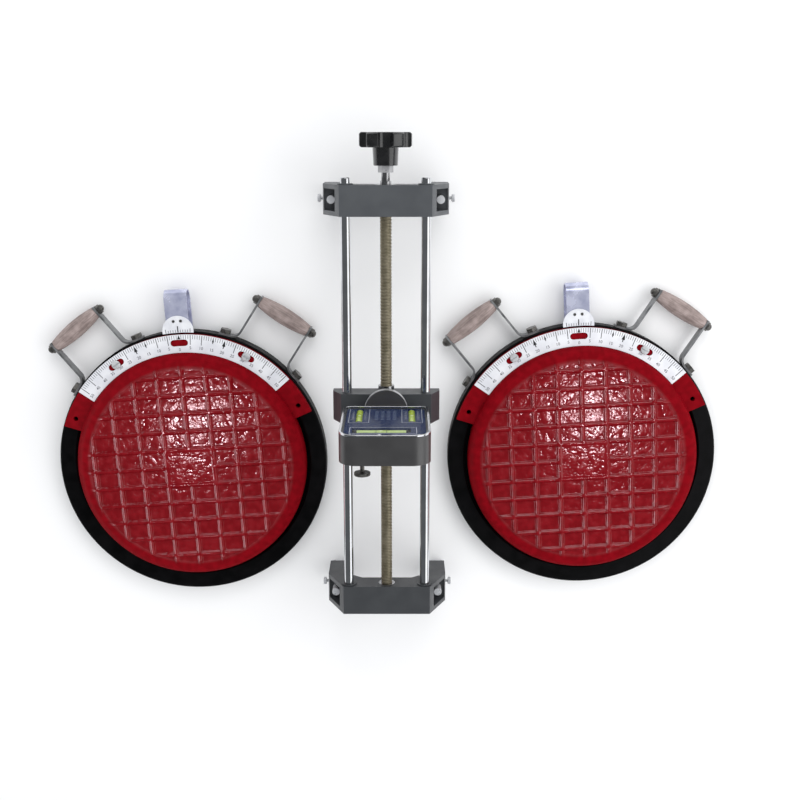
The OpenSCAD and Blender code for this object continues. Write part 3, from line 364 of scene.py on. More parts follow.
for side in SIDES:
    node = side + "_top_plate"
    floor_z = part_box(node)[1].z - RIB_HEIGHT
    paint = red_paint(side)
    plate = merged_copy(node)
    bpy.ops.object.mode_set(mode="EDIT")
    bpy.ops.mesh.select_mode(type="FACE")
    bpy.ops.mesh.select_all(action="DESELECT")
    bpy.ops.object.mode_set(mode="OBJECT")
    level = floor_z - 0.05 * MM
    for face in plate.data.polygons:
        face.select = all(plate.data.vertices[i].co.z > level for i in face.vertices)
    bpy.ops.object.mode_set(mode="EDIT")
    bpy.ops.mesh.delete(type="FACE")
    bpy.ops.mesh.select_mode(type="VERT")
    bpy.ops.mesh.select_all(action="SELECT")
    bpy.ops.mesh.fill_holes(sides=0)
    bpy.ops.object.mode_set(mode="OBJECT")
    plate = rounded(node, 1.2, paint, steps=3, piece=plate)
    ribs = waffle(pivot[side + "_plate_turn"], floor_z)
    coat_with(ribs, paint)
    joined([plate, ribs], plate.name)

# Angle scales
# An arc of satin aluminium on each flange, clamped through slots so that it can be trimmed to
# zero. The graduations are printed: a line for each degree, a number at each five with a longer
# line where there is room, and bold arrows at the wheel angles that are set most often.
scale_aluminium = surface("scale_aluminium", (0.68, 0.69, 0.73), (0.78, 0.79, 0.82), (0.34, 0.46),
                          fine=2600, coarse=55, relief=0.05, metallic=0.05)


def print_ink(name, dark, light):
    """A dull printing ink."""
    return surface(name, dark, light, (0.45, 0.6), fine=3000, coarse=400, relief=0.03)


black_print = print_ink("black_print", (0.01, 0.01, 0.012), (0.03, 0.03, 0.034))
grey_print = print_ink("grey_print", (0.1, 0.1, 0.12), (0.2, 0.2, 0.22))
PRINT_RISE = 0.05 * MM
ARROW_RISE = PRINT_RISE * 1.4
SCALE_EDGE = 173.5 * MM
LINE_END = SCALE_EDGE - 0.6 * MM
DEGREE_LINE_START = SCALE_EDGE - 6 * MM
FIVE_LINE_START = SCALE_EDGE - 13.2 * MM
NUMBER_RADIUS = SCALE_EDGE - 17.4 * MM
ZERO_RADIUS = SCALE_EDGE - 19.6 * MM
ARROWS_AND_SLOTS = (0, 15, 20, 30, 35)
# Angle in degrees, then length and width of the head and of the shaft in mm.
BOLD_ARROWS = ((20, 8, 4.6, 4, 1.2), (15, 6, 2.6, 3, 0.9))


def around(centre, angle, radius, z):
    """A place at a radius from a centre, turned by an angle from straight ahead."""
    return (centre.x - radius * math.sin(angle), centre.y + radius * math.cos(angle), z)


def radial_bar(centre, angle, r_low, r_high, width, low_z):
    """A printed bar that points out from a centre, turned by an angle from straight ahead."""
    bpy.ops.mesh.primitive_cube_add(size=1, rotation=(0, 0, angle))
    bar = bpy.context.object
    bar.scale = (width, r_high - r_low, PRINT_RISE)
    bar.location = around(centre, angle, (r_low + r_high) / 2, low_z + PRINT_RISE / 2)
    return bar


def fanned(centre, half_angle, steps, r_low, r_high, width, low_z):
    """Bars spread evenly to both sides of the pointer direction, clockwise from the first."""
    first = radial_bar(centre, PLATE_TURN + half_angle, r_low, r_high, width, low_z)
    pick_only(first)
    bpy.ops.object.transform_apply(location=True, rotation=True, scale=True)
    bpy.ops.object.mode_set(mode="EDIT")
    bpy.ops.mesh.select_all(action="SELECT")
    bpy.ops.mesh.spin(dupli=True, steps=steps, angle=2 * half_angle,
                      center=(centre.x, centre.y, 0), axis=(0, 0, 1))
    bpy.ops.object.mode_set(mode="OBJECT")
    return first


def number(text, centre, angle, radius, size, low_z):
    """A plain number whose foot points to the centre."""
    bpy.ops.object.text_add()
    words = bpy.context.object
    words.data.body = text
    words.data.size = size
    words.data.align_x = "CENTER"
    words.data.align_y = "CENTER"
    words.data.offset = size * 0.012
    words.data.extrude = PRINT_RISE
    words.data.resolution_u = 3
    pick_only(words)
    bpy.ops.object.convert(target="MESH")
    words = bpy.context.object
    bpy.ops.object.mode_set(mode="EDIT")
    bpy.ops.mesh.select_all(action="SELECT")
    bpy.ops.mesh.remove_doubles(threshold=0.003 * MM)
    bpy.ops.mesh.normals_make_consistent(inside=False)
    bpy.ops.object.mode_set(mode="OBJECT")
    words.rotation_euler = (0, 0, angle)
    words.location = around(centre, angle, radius, low_z)
    return words


def arrow(centre, angle, r_tip, length, width, low_z):
    """A flat arrow head that points outwards."""
    bpy.ops.mesh.primitive_cylinder_add(vertices=3, radius=1, depth=1, rotation=(0, 0, angle))
    head = bpy.context.object
    head.scale = (width / math.sqrt(3), length / 1.5, ARROW_RISE)
    head.location = around(centre, angle, r_tip - length / 1.5, low_z + ARROW_RISE / 2)
    return head


def printed(pieces, name, material, body):
    """Marks joined into one piece that moves with a body."""
    marks = joined(pieces, name)
    coat_with(marks, material)
    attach(marks, body)
    return marks


for side in SIDES:
    centre = pivot[side + "_plate_turn"]
    rounded(side + "_angle_scale", 0.25, scale_aluminium, steps=1)
    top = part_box(side + "_angle_scale")[1].z
    fine_lines = [
        fanned(centre, math.radians(50), 100, DEGREE_LINE_START, LINE_END, 0.5 * MM, top),
    ]
    bold_lines = [arrow(centre, PLATE_TURN, LINE_END, 5.4 * MM, 4 * MM, top)]
    for degrees, head, head_width, shaft, shaft_width in BOLD_ARROWS:
        shaft_end = SCALE_EDGE - head * MM
        shaft_start = shaft_end - shaft * MM
        for angle in (PLATE_TURN - math.radians(degrees), PLATE_TURN + math.radians(degrees)):
            bold_lines += [
                arrow(centre, angle, SCALE_EDGE - 1 * MM, head * MM, head_width * MM, top),
                radial_bar(centre, angle, shaft_start, shaft_end, shaft_width * MM, top),
            ]
    digits = []
    for degrees in range(-50, 51, 5):
        angle = PLATE_TURN + math.radians(degrees)
        radius = NUMBER_RADIUS if degrees else ZERO_RADIUS
        digits.append(number(str(abs(degrees)), centre, angle, radius, 5.4 * MM, top))
        if abs(degrees) not in ARROWS_AND_SLOTS:
            fine_lines.append(radial_bar(centre, angle, FIVE_LINE_START, LINE_END, 0.8 * MM, top))
    printed(fine_lines, side + "_scale_lines", black_print, side + "_scale")
    printed(bold_lines, side + "_scale_arrows", black_print, side + "_scale")
    printed(digits, side + "_scale_numbers", grey_print, side + "_scale")

# Scale screws
# Slotted zinc-plated screws through the two outer slots of each scale. Their pale grey, on a low
# metallic, is partly the zinc's own tone and partly painted highlight.
pale_zinc_painted_highlight = surface("pale_zinc_painted_highlight", (0.6, 0.61, 0.63), (0.74, 0.75, 0.77), (0.25, 0.4),
                    fine=2400, coarse=120, relief=0.08, metallic=0.4)
for side in SIDES:
    rounded(side + "_scale_screws", 0.3, pale_zinc_painted_highlight)

# Pointers
# A bright steel strap screwed to each rim and bent back over it, with a white half-moon vernier
# plate riveted to its end. Its printed lines read against the scale. The strap's pale bluish
# colour, on a half-metallic finish, is partly painted reflection.
# Pale bluish base colour with low metallic: partly painted reflection of the steel's sheen.
bright_strap = surface("bright_strap", (0.42, 0.44, 0.6), (0.66, 0.68, 0.84), (0.14, 0.3),
                       fine=1400, coarse=60, relief=0.06, metallic=0.45)
white_plate = surface("white_plate", (0.62, 0.63, 0.67), (0.74, 0.75, 0.78), (0.3, 0.45),
                      fine=2000, coarse=90, relief=0.04)
VERNIER_EDGE = 176.6 * MM
for side in SIDES:
    centre = pivot[side + "_plate_turn"]
    rounded(side + "_pointer_bracket", 0.5, bright_strap)
    rounded(side + "_vernier_plate", 0.2, white_plate, steps=1)
    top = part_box(side + "_vernier_plate")[1].z
    lines = [
        fanned(centre, math.radians(5), 10, VERNIER_EDGE, VERNIER_EDGE + 3.4 * MM, 0.55 * MM, top),
        fanned(centre, math.radians(5), 2, VERNIER_EDGE, VERNIER_EDGE + 5 * MM, 0.7 * MM, top),
        radial_bar(centre, PLATE_TURN, VERNIER_EDGE, VERNIER_EDGE + 8 * MM, 1.3 * MM, top),
    ]
    printed(lines, side + "_vernier_lines", black_print, "frame")
rounded("pointer_screws", 0.2, pale_zinc_painted_highlight)
rounded("vernier_rivets", 0.25, dark_steel)

# Handles
# Each handle is a pair of bent steel straps held to the rim by hexagon bolts, with a turned
# wooden grip on a bolt between them.
strap_steel = surface("strap_steel", (0.13, 0.135, 0.14), (0.3, 0.305, 0.31), (0.28, 0.5),
                      fine=1600, coarse=90, relief=0.18, metallic=0.5)
for side in SIDES:
    rounded(side + "_handle_straps", 0.45, strap_steel)
rounded("rim_bolts", 0.45, dark_steel)
rounded("grip_bolts", 0.3, pale_zinc_painted_highlight)


def wood(name, centre, axis):
    """Bare turned wood with its grain along an axis, greyed and stained by hands."""
    material = bpy.data.materials.new(name)
    material.use_nodes = True
    nodes, links = material.node_tree.nodes, material.node_tree.links
    shader = nodes["Principled BSDF"]
    place = nodes.new("ShaderNodeTexCoord")
    turn = nodes.new("ShaderNodeMapping")
    turn.vector_type = "TEXTURE"
    turn.inputs["Location"].default_value = centre
    turn.inputs["Rotation"].default_value = (0, 0, math.atan2(axis.y, axis.x))
    stretch = nodes.new("ShaderNodeMapping")
    stretch.inputs["Scale"].default_value = (0.09, 1, 1)
    grain = nodes.new("ShaderNodeTexNoise")
    grain.inputs["Scale"].default_value = 520
    grain.inputs["Detail"].default_value = 6
    grain.inputs["Distortion"].default_value = 0.4
    stain = nodes.new("ShaderNodeTexNoise")
    stain.inputs["Scale"].default_value = 70
    stain.inputs["Detail"].default_value = 4
    colour = nodes.new("ShaderNodeValToRGB")
    colour.color_ramp.elements[0].position = 0.32
    colour.color_ramp.elements[0].color = (0.24, 0.185, 0.17, 1)
    colour.color_ramp.elements[1].position = 0.68
    colour.color_ramp.elements[1].color = (0.4, 0.32, 0.3, 1)
    soot = nodes.new("ShaderNodeValToRGB")
    soot.color_ramp.elements[0].position = 0.36
    soot.color_ramp.elements[0].color = (0.55, 0.52, 0.51, 1)
    soot.color_ramp.elements[1].position = 0.56
    soot.color_ramp.elements[1].color = (1, 1, 1, 1)
    mixed = nodes.new("ShaderNodeMix")
    mixed.data_type = "RGBA"
    mixed.blend_type = "MULTIPLY"
    mixed.inputs["Factor"].default_value = 0.7
    rough = nodes.new("ShaderNodeMapRange")
    rough.inputs["To Min"].default_value = 0.5
    rough.inputs["To Max"].default_value = 0.75
    bump = nodes.new("ShaderNodeBump")
    bump.inputs["Strength"].default_value = 0.35
    bump.inputs["Distance"].default_value = 0.6 * MM
    links.new(place.outputs["Object"], turn.inputs["Vector"])
    links.new(turn.outputs["Vector"], stretch.inputs["Vector"])
    links.new(stretch.outputs["Vector"], grain.inputs["Vector"])
    links.new(turn.outputs["Vector"], stain.inputs["Vector"])
    links.new(grain.outputs["Fac"], colour.inputs["Fac"])
    links.new(stain.outputs["Fac"], soot.inputs["Fac"])
    links.new(colour.outputs["Color"], mixed.inputs["A"])
    links.new(soot.outputs["Color"], mixed.inputs["B"])
    links.new(mixed.outputs["Result"], shader.inputs["Base Color"])
    links.new(grain.outputs["Fac"], rough.inputs["Value"])
    links.new(rough.outputs["Result"], shader.inputs["Roughness"])
    links.new(grain.outputs["Fac"], bump.inputs["Height"])
    links.new(bump.outputs["Normal"], shader.inputs["Normal"])
    return material


spin_axis = {j["name"]: Vector(j["axis"]) for j in frame["joints"]}
for side in SIDES:
    for which in ("outer", "inner"):
        joint = f"{side}_{which}_grip_spin"
        turned_wood = wood(f"{side}_{which}_wood", pivot[joint], spin_axis[joint])
        rounded(f"{side}_{which}_grip", 1.0, turned_wood)

# Grip nuts
# Domed hexagon nuts close the ends of the grip bolts. One is modelled and then copied to both ends
# of every grip, where the solids have theirs.
NUT_WIDTH = 11 * MM
NUT_HEIGHT = 9 * MM
NUT_FLATS = 4.95 * MM


def dome_nut():
    """A hexagon nut with a round closed end, standing on the origin."""
    bpy.ops.mesh.primitive_cylinder_add(vertices=6, radius=NUT_WIDTH / math.sqrt(3),
                                        depth=NUT_FLATS, location=(0, 0, NUT_FLATS / 2))
    flats = bpy.context.object
    soften(flats, 0.5 * MM, 3)
    dome_low = NUT_FLATS - 0.4 * MM
    dome_radius = NUT_WIDTH * 0.45
    bpy.ops.mesh.primitive_uv_sphere_add(segments=40, ring_count=20, radius=1,
                                         location=(0, 0, dome_low))
    dome = bpy.context.object
    dome.scale = (dome_radius, dome_radius, NUT_HEIGHT - dome_low)
    return joined([flats, dome], "nut_pattern")


HANDLE_REACH = 80 * MM
solid_nuts = frame["nodes"]["grip_nuts"]
pattern = dome_nut()
nuts = []
for joint in [name for name in pivot if name.endswith("_grip_spin")]:
    from_grip = [vertex.co - pivot[joint] for vertex in solid_nuts.data.vertices]
    near = [offset for offset in from_grip if offset.length < HANDLE_REACH]
    for axis in (spin_axis[joint], -spin_axis[joint]):
        nut_end = max(axis.dot(offset) for offset in near)
        nut = pattern.copy()
        nut.data = pattern.data.copy()
        bpy.context.scene.collection.objects.link(nut)
        nut.location = pivot[joint] + axis * (nut_end - NUT_HEIGHT)
        nut.rotation_euler = axis.to_track_quat("Z", "X").to_euler()
        nuts.append(nut)
bpy.data.objects.remove(pattern)
nuts = joined(nuts, "grip_nuts_finished")
bpy.ops.object.shade_smooth_by_angle(angle=math.radians(35))
coat_with(nuts, dark_steel)
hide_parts("grip_nuts")
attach(nuts, solid_nuts["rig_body"])

# Clamp frame
# Two hard-chromed guide rods carry the three brackets, castings in slate-grey satin paint. The
# middle and bottom ones take darker copies of the top one's paint, which is painted shade. The
# middle one is fixed to the rods and holds the hub spigot.
chrome = surface("chrome", (0.66, 0.67, 0.69), (0.76, 0.77, 0.79), (0.05, 0.11),
                 fine=1800, coarse=40, relief=0.02, metallic=1.0)
rounded("guide_rods", 0.3, chrome)
bracket_paint_and_shade = {}
# The shade factors darken the middle and bottom brackets' paint: painted shade.
for level, shade in (("top", 1.0), ("middle", 0.62), ("bottom", 0.66)):
    dark = [shade * part for part in (0.065, 0.07, 0.077)]
    light = [shade * part for part in (0.073, 0.079, 0.086)]
    bracket_paint_and_shade[level] = surface(level + "_bracket_paint_and_shade", dark, light, (0.38, 0.5),
                                   fine=1300, coarse=45, relief=0.1)
    rounded(level + "_bracket", 1.0, bracket_paint_and_shade[level])
steel = surface("steel", (0.4, 0.4, 0.41), (0.5, 0.5, 0.51), (0.16, 0.28),
                fine=2400, coarse=120, relief=0.05, metallic=1.0)
rounded("hub_spigot", 0.3, steel)

# Bushes and lead nuts
# Flanged bushes, painted over with the brackets, so that the bottom ones share its painted shade,
# guide the end brackets on the rods, and steel nuts with hexagon flanges, let into the brackets,
# run on the lead screw.
for end in ("top", "bottom"):
    rounded(end + "_bushes", 0.3, bracket_paint_and_shade[end])
    rounded(end + "_nut", 0.3, steel)

# Lead screw
# A rolled steel screw with a yellow passivated finish and a bare neck. Its thread is right-handed
# above the hub and left-handed below, so that one knob draws both end brackets together.
screw_brass = surface("screw_brass", (0.2, 0.175, 0.115), (0.29, 0.255, 0.18), (0.35, 0.5),
                      fine=2000, coarse=90, relief=0.1, metallic=0.6)
SCREW_PITCH = 4 * MM
THREAD_DEPTH = 0.55 * MM
screw_low, screw_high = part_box("lead_screw")
screw_centre = Vector(((screw_low.x + screw_high.x) / 2, 0, (screw_low.z + screw_high.z) / 2))
screw_radius = (screw_high.x - screw_low.x) / 2
collar_low, collar_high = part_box("screw_collars")


def thread(name, first_y, last_y):
    """A length of thread from a start to an end height; it is left-handed where it runs down."""
    turns = int(abs(last_y - first_y) / SCREW_PITCH) - 1
    root = screw_radius - THREAD_DEPTH
    tooth = ((root, 0), (screw_radius, 0.18), (screw_radius, 0.62), (root, 0.8), (root, 1))
    bpy.ops.mesh.primitive_circle_add(vertices=len(tooth), fill_type="NOTHING")
    piece = bpy.context.object
    piece.name = name
    for vertex, (radius, share) in zip(piece.data.vertices, tooth):
        vertex.co = (radius, share * SCREW_PITCH, 0)
    unpick_mesh()
    for edge in piece.data.edges:
        edge.select = set(edge.vertices) == {0, len(tooth) - 1}
    bpy.ops.object.mode_set(mode="EDIT")
    bpy.ops.mesh.select_mode(type="EDGE")
    bpy.ops.mesh.delete(type="EDGE")
    bpy.ops.mesh.select_mode(type="VERT")
    bpy.ops.object.mode_set(mode="OBJECT")
    winding = piece.modifiers.new("winding", "SCREW")
    winding.axis = "Y"
    winding.screw_offset = SCREW_PITCH
    winding.iterations = turns
    winding.steps = winding.render_steps = 24
    winding.use_merge_vertices = True
    winding.merge_threshold = 0.01 * MM
    bpy.ops.object.modifier_apply(modifier=winding.name)
    piece.location = (screw_centre.x, first_y, screw_centre.z)
    piece.scale = (1, 1 if last_y > first_y else -1, 1)
    bpy.ops.object.transform_apply(location=True, rotation=True, scale=True)
    bpy.ops.object.mode_set(mode="EDIT")
    bpy.ops.mesh.select_all(action="SELECT")
    bpy.ops.mesh.remove_doubles(threshold=0.01 * MM)
    bpy.ops.mesh.fill_holes(sides=0)
    bpy.ops.mesh.normals_make_consistent(inside=False)
    bpy.ops.object.mode_set(mode="OBJECT")
    return piece


def journal(low_y, high_y, radius):
    """A plain turned length of the screw with rounded ends."""
    middle = (screw_centre.x, (low_y + high_y) / 2, screw_centre.z)
    bpy.ops.mesh.primitive_cylinder_add(vertices=48, radius=radius, depth=high_y - low_y,
                                        rotation=(math.pi / 2, 0, 0), location=middle)
    piece = bpy.context.object
    unpick_mesh()
    for edge in piece.data.edges:
        ends = [piece.data.vertices[i].co.z for i in edge.vertices]
        edge.select = abs(ends[0] - ends[1]) < 0.01 * MM
    bpy.ops.object.mode_set(mode="EDIT")
    bpy.ops.mesh.bevel(offset=0.8 * MM, segments=2)
    bpy.ops.object.mode_set(mode="OBJECT")
    return piece


neck_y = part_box("top_bracket")[1].y + 4.5 * MM
screw_run = joined([
    thread("upper_thread", collar_high.y, neck_y),
    thread("lower_thread", collar_low.y, screw_low.y + 2 * MM),
    journal(collar_low.y - 3 * MM, collar_high.y + 3 * MM, screw_radius - 0.02 * MM),
    journal(screw_low.y, screw_low.y + 8 * MM, screw_radius - 0.4 * MM),
], "lead_screw_thread")
neck = joined([
    journal(neck_y - 8 * MM, neck_y, screw_radius - 0.4 * MM),
    journal(neck_y - 4 * MM, screw_high.y, screw_radius - 2 * MM),
], "lead_screw_neck")
for piece, material in ((screw_run, screw_brass), (neck, steel)):
    pick_only(piece)
    bpy.ops.object.shade_smooth_by_angle(angle=math.radians(30))
    coat_with(piece, material)
    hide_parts("lead_screw")
    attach(piece, "spindle")

# Screw collars, lock nut and knob
# Turned collars hold the screw at the hub, a dull zinc-plated nut locks the knob on its neck, and
# the knob itself is a moulded black star.
rounded("screw_collars", 0.4, steel)
dull_zinc = surface("dull_zinc", (0.36, 0.36, 0.37), (0.5, 0.5, 0.51), (0.25, 0.4),
                    fine=2400, coarse=120, relief=0.08, metallic=0.3)
rounded("lock_nut", 0.4, dull_zinc)
knob_plastic = surface("knob_plastic", (0.006, 0.006, 0.007), (0.014, 0.014, 0.015), (0.16, 0.3),
                       fine=900, coarse=90, relief=0.06, coat=0.8)
rounded("knob", 2.0, knob_plastic, steps=4)

# Claws and thumb screws
# A zinc-plated claw slides through each wing to hook over the wheel rim, and a small knurled
# thumb screw locks it.


def turned_to(axis):
    """The turn that brings an upright piece onto an axis."""
    return Vector((0, 0, 1)).rotation_difference(axis).to_euler()


def knurl(name, centre, axis, radius, thick, ridges, material, body):
    """Fine ridges around the edge of a round screw head."""
    ridge_radius = 0.9 * math.pi * radius / ridges
    bpy.ops.mesh.primitive_cylinder_add(vertices=3, radius=ridge_radius, depth=thick)
    ring = bpy.context.object
    ring.location = (radius - 0.02 * MM, 0, 0)
    bpy.ops.object.transform_apply(location=True, rotation=True, scale=True)
    bpy.ops.object.mode_set(mode="EDIT")
    bpy.ops.mesh.select_all(action="SELECT")
    bpy.ops.mesh.bevel(offset=0.12 * MM, segments=1)
    bpy.ops.mesh.select_all(action="SELECT")
    bpy.ops.mesh.spin(dupli=True, steps=ridges - 1, angle=2 * math.pi * (ridges - 1) / ridges,
                      center=(0, 0, 0), axis=(0, 0, 1))
    bpy.ops.mesh.select_all(action="SELECT")
    bpy.ops.mesh.normals_make_consistent(inside=False)
    bpy.ops.object.mode_set(mode="OBJECT")
    ring.rotation_euler = turned_to(axis)
    ring.location = centre
    ring = joined([ring], name)
    coat_with(ring, material)
    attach(ring, body)


THUMB_HEAD = 4 * MM
for end in ("top", "bottom"):
    for side in SIDES:
        node = f"{end}_{side}_thumb_screw"
        rounded(f"{end}_{side}_claw", 0.5, pale_zinc_painted_highlight)
        rounded(node, 0.35, pale_zinc_painted_highlight)
        low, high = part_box(node)
        middle = (low + high) / 2
        middle.x = low.x + THUMB_HEAD / 2 if side == "left" else high.x - THUMB_HEAD / 2
        knurl(node + "_knurl", middle, Vector((1, 0, 0)), (high.z - low.z) / 2,
              THUMB_HEAD * 0.7, 28, pale_zinc_painted_highlight, node)

# Gauge housing
# A hollow dark-grey casting screwed to a round disc whose knurled edge is pale zinc, partly
# painted highlight, and which swivels on the hub. A clear window in a chromed bezel closes it.
housing_paint = surface("housing_paint", (0.037, 0.036, 0.037), (0.043, 0.042, 0.043), (0.28, 0.38),
                        fine=1300, coarse=45, relief=0.1, specular=0.8)
rounded("mounting_disc", 0.8, housing_paint)
disc_low, disc_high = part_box("mounting_disc")
disc_size = disc_high - disc_low
# The knurl's pale zinc is partly painted highlight of the disc's rim.
knurl("mounting_disc_knurl", (disc_low + disc_high) / 2, Vector((0, 0, 1)), disc_size.x / 2,
      disc_size.z * 0.8, 112, pale_zinc_painted_highlight, "gauge")
rounded("disc_screws", 0.25, pale_zinc_painted_highlight)
rounded("gauge_housing", 0.9, housing_paint)
rounded("gauge_bezel", 0.7, chrome, steps=3)
panel_blue = surface("panel_blue", (0.009, 0.019, 0.075), (0.014, 0.028, 0.105), (0.4, 0.55),
                     fine=2400, coarse=120, relief=0.03, specular=0.08)
coat_with(frame["nodes"]["gauge_panel"], panel_blue)
clear = surface("clear_window", (0.1, 0.12, 0.13), (0.13, 0.15, 0.16), (0.02, 0.06),
                fine=600, coarse=30, relief=0.01)
clear.node_tree.nodes["Principled BSDF"].inputs["Alpha"].default_value = 0.08
rounded("gauge_window", 0.2, clear, steps=1)

# Panel print
# Fine white lines on the blue panel: a frame round each vial, degree ticks beside the short ones
# and an index mark by the long one. Rows of plain dashes in a fainter blue stand between them.
white_print = print_ink("white_print", (0.62, 0.65, 0.7), (0.78, 0.8, 0.84))
panel_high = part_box("gauge_panel")[1]
gauge_x = pivot["gauge_swivel"].x
vial_low, vial_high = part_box("short_vials")
long_low, long_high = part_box("long_vial")
vial_z = (vial_low.z + vial_high.z) / 2
long_z = (long_low.z + long_high.z) / 2


def panel_patch(low_x, high_x, low_z, high_z):
    """A flat patch on the panel, from corner to corner, with x from the gauge's middle."""
    bpy.ops.mesh.primitive_plane_add(size=1, rotation=(-math.pi / 2, 0, 0))
    patch = bpy.context.object
    patch.scale = (high_x - low_x, high_z - low_z, 1)
    patch.location = (gauge_x + (low_x + high_x) / 2, panel_high.y, (low_z + high_z) / 2)
    bpy.ops.object.transform_apply(location=True, rotation=True, scale=True)
    return patch


def copied(patch, count, step):
    """A patch and its copies, a step apart."""
    copies = patch.modifiers.new("copies", "ARRAY")
    copies.count = count
    copies.use_relative_offset = False
    copies.use_constant_offset = True
    copies.constant_offset_displace = step
    bpy.ops.object.modifier_apply(modifier=copies.name)
    return patch


def inked(patch):
    """A patch with the thickness of a layer of ink."""
    ink = patch.modifiers.new("ink", "SOLIDIFY")
    ink.thickness = PRINT_RISE
    ink.offset = 1
    bpy.ops.object.modifier_apply(modifier=ink.name)
    return patch


def panel_frame(low_x, high_x, low_z, high_z, width):
    """A line of ink round a vial."""
    outline = panel_patch(low_x, high_x, low_z, high_z)
    bpy.ops.object.mode_set(mode="EDIT")
    bpy.ops.mesh.select_all(action="SELECT")
    bpy.ops.mesh.inset(thickness=width)
    bpy.ops.mesh.delete(type="FACE")
    bpy.ops.object.mode_set(mode="OBJECT")
    return inked(outline)


SHORT_RADIUS = 5 * MM
SHORT_AT = vial_high.x - gauge_x - SHORT_RADIUS
TICK_RUN = 36 * MM
lines = [panel_frame(-40 * MM, 36 * MM, long_z - 9 * MM, long_z + 19 * MM, 0.6 * MM)]
first_z = vial_z - TICK_RUN / 2
for middle in (-SHORT_AT, SHORT_AT):
    lines.append(panel_frame(middle - 12 * MM, middle + 12 * MM,
                             vial_low.z - 4 * MM, vial_high.z + 4 * MM, 0.45 * MM))
    for way in (-1, 1):
        for near, far, count in ((6 * MM, 8 * MM, 13), (7.9 * MM, 9.4 * MM, 5)):
            low_x, high_x = sorted((middle + way * near, middle + way * far))
            tick = panel_patch(low_x, high_x, first_z - 0.15 * MM, first_z + 0.15 * MM)
            lines.append(inked(copied(tick, count, (0, 0, TICK_RUN / (count - 1)))))
index_place = (gauge_x - 6 * MM, panel_high.y + PRINT_RISE / 2, long_z + 22 * MM)
bpy.ops.mesh.primitive_cylinder_add(vertices=3, radius=3 * MM, depth=PRINT_RISE,
                                    rotation=(math.pi / 2, 0, 0), location=index_place)
lines.append(bpy.context.object)
printed(lines, "panel_lines", white_print, "gauge")
faint_print = print_ink("faint_print", (0.16, 0.2, 0.32), (0.24, 0.29, 0.42))
dash = panel_patch(-12.5 * MM, -8.5 * MM, vial_low.z + 9 * MM, vial_low.z + 10.8 * MM)
dashes = inked(copied(copied(dash, 4, (7 * MM, 0, 0)), 7, (0, 0, 6.4 * MM)))
printed([dashes], "panel_dashes", faint_print, "gauge")

# Spirit vials
# Two short vials of yellow-green fluid, and a longer pale one on a bronze cradle that the adjusting
# screw under the housing tilts. Each has dark end plugs, two reading lines and a bubble.
lime_fluid = surface("lime_fluid", (0.5, 0.68, 0.03), (0.66, 0.84, 0.07), (0.08, 0.16),
                     fine=900, coarse=160, relief=0.02, coat=0.4)
pale_fluid = surface("pale_fluid", (0.5, 0.64, 0.22), (0.62, 0.76, 0.32), (0.08, 0.16),
                     fine=900, coarse=160, relief=0.02, coat=0.4)
bubble_pale = surface("bubble_pale", (0.78, 0.86, 0.5), (0.88, 0.93, 0.66), (0.05, 0.12),
                      fine=900, coarse=160, relief=0.02, coat=0.4)
rounded("short_vials", 1.6, lime_fluid, steps=3)
rounded("long_vial", 1.6, pale_fluid, steps=3)
bronze = surface("bronze", (0.3, 0.22, 0.1), (0.5, 0.39, 0.2), (0.25, 0.42),
                 fine=1800, coarse=160, relief=0.08, metallic=1.0)
coat_with(frame["nodes"]["vial_cradle"], bronze)


def vial_band(centre, axis, radius, length):
    """A band round a vial, with its edges softened."""
    bpy.ops.mesh.primitive_cylinder_add(vertices=40, radius=radius, depth=length,
                                        location=centre, rotation=turned_to(axis))
    band = bpy.context.object
    soften(band, min(length, radius) * 0.25, 2)
    return band


def vial_fittings(name, centre, axis, radius, length, body):
    """A vial's end plugs and reading lines, and the bubble at its front."""
    bands = []
    for sign in (-1, 1):
        plug = centre + sign * axis * (length / 2 - 2 * MM)
        line = centre + sign * axis * 6 * MM
        bands.append(vial_band(plug, axis, radius + 0.12 * MM, 3.6 * MM))
        bands.append(vial_band(line, axis, radius + 0.06 * MM, 0.7 * MM))
    printed(bands, name + "_bands", black_print, body)
    bpy.ops.object.shade_smooth_by_angle(angle=math.radians(35))
    bpy.ops.mesh.primitive_uv_sphere_add(segments=32, ring_count=16, radius=1)
    bubble = bpy.context.object
    bubble.scale = (radius * 0.62, radius * 0.5, 5 * MM)
    bubble.rotation_euler = turned_to(axis)
    bubble.location = centre + Vector((0, radius * 0.53, 0))
    bubble = printed([bubble], name + "_bubble", bubble_pale, body)
    glass = centre + Vector((0, radius * 1.01, 0))
    unpick_mesh()
    for vertex in bubble.data.vertices:
        vertex.select = vertex.co.y > glass.y
    bpy.ops.object.mode_set(mode="EDIT")
    bpy.ops.transform.resize(value=(1, 0, 1), center_override=glass)
    bpy.ops.object.mode_set(mode="OBJECT")
    bpy.ops.object.shade_smooth_by_angle(angle=math.radians(50))


for side, sign in (("left", -1), ("right", 1)):
    centre = Vector((gauge_x + sign * SHORT_AT, (vial_low.y + vial_high.y) / 2, vial_z))
    vial_fittings(side + "_vial", centre, Vector((0, 0, 1)), SHORT_RADIUS,
                  vial_high.z - vial_low.z, "gauge")
long_size = long_high - long_low
vial_fittings("long_vial", (long_low + long_high) / 2, Vector((1, 0, 0)), long_size.z / 2,
              long_size.x, "vial_carrier")

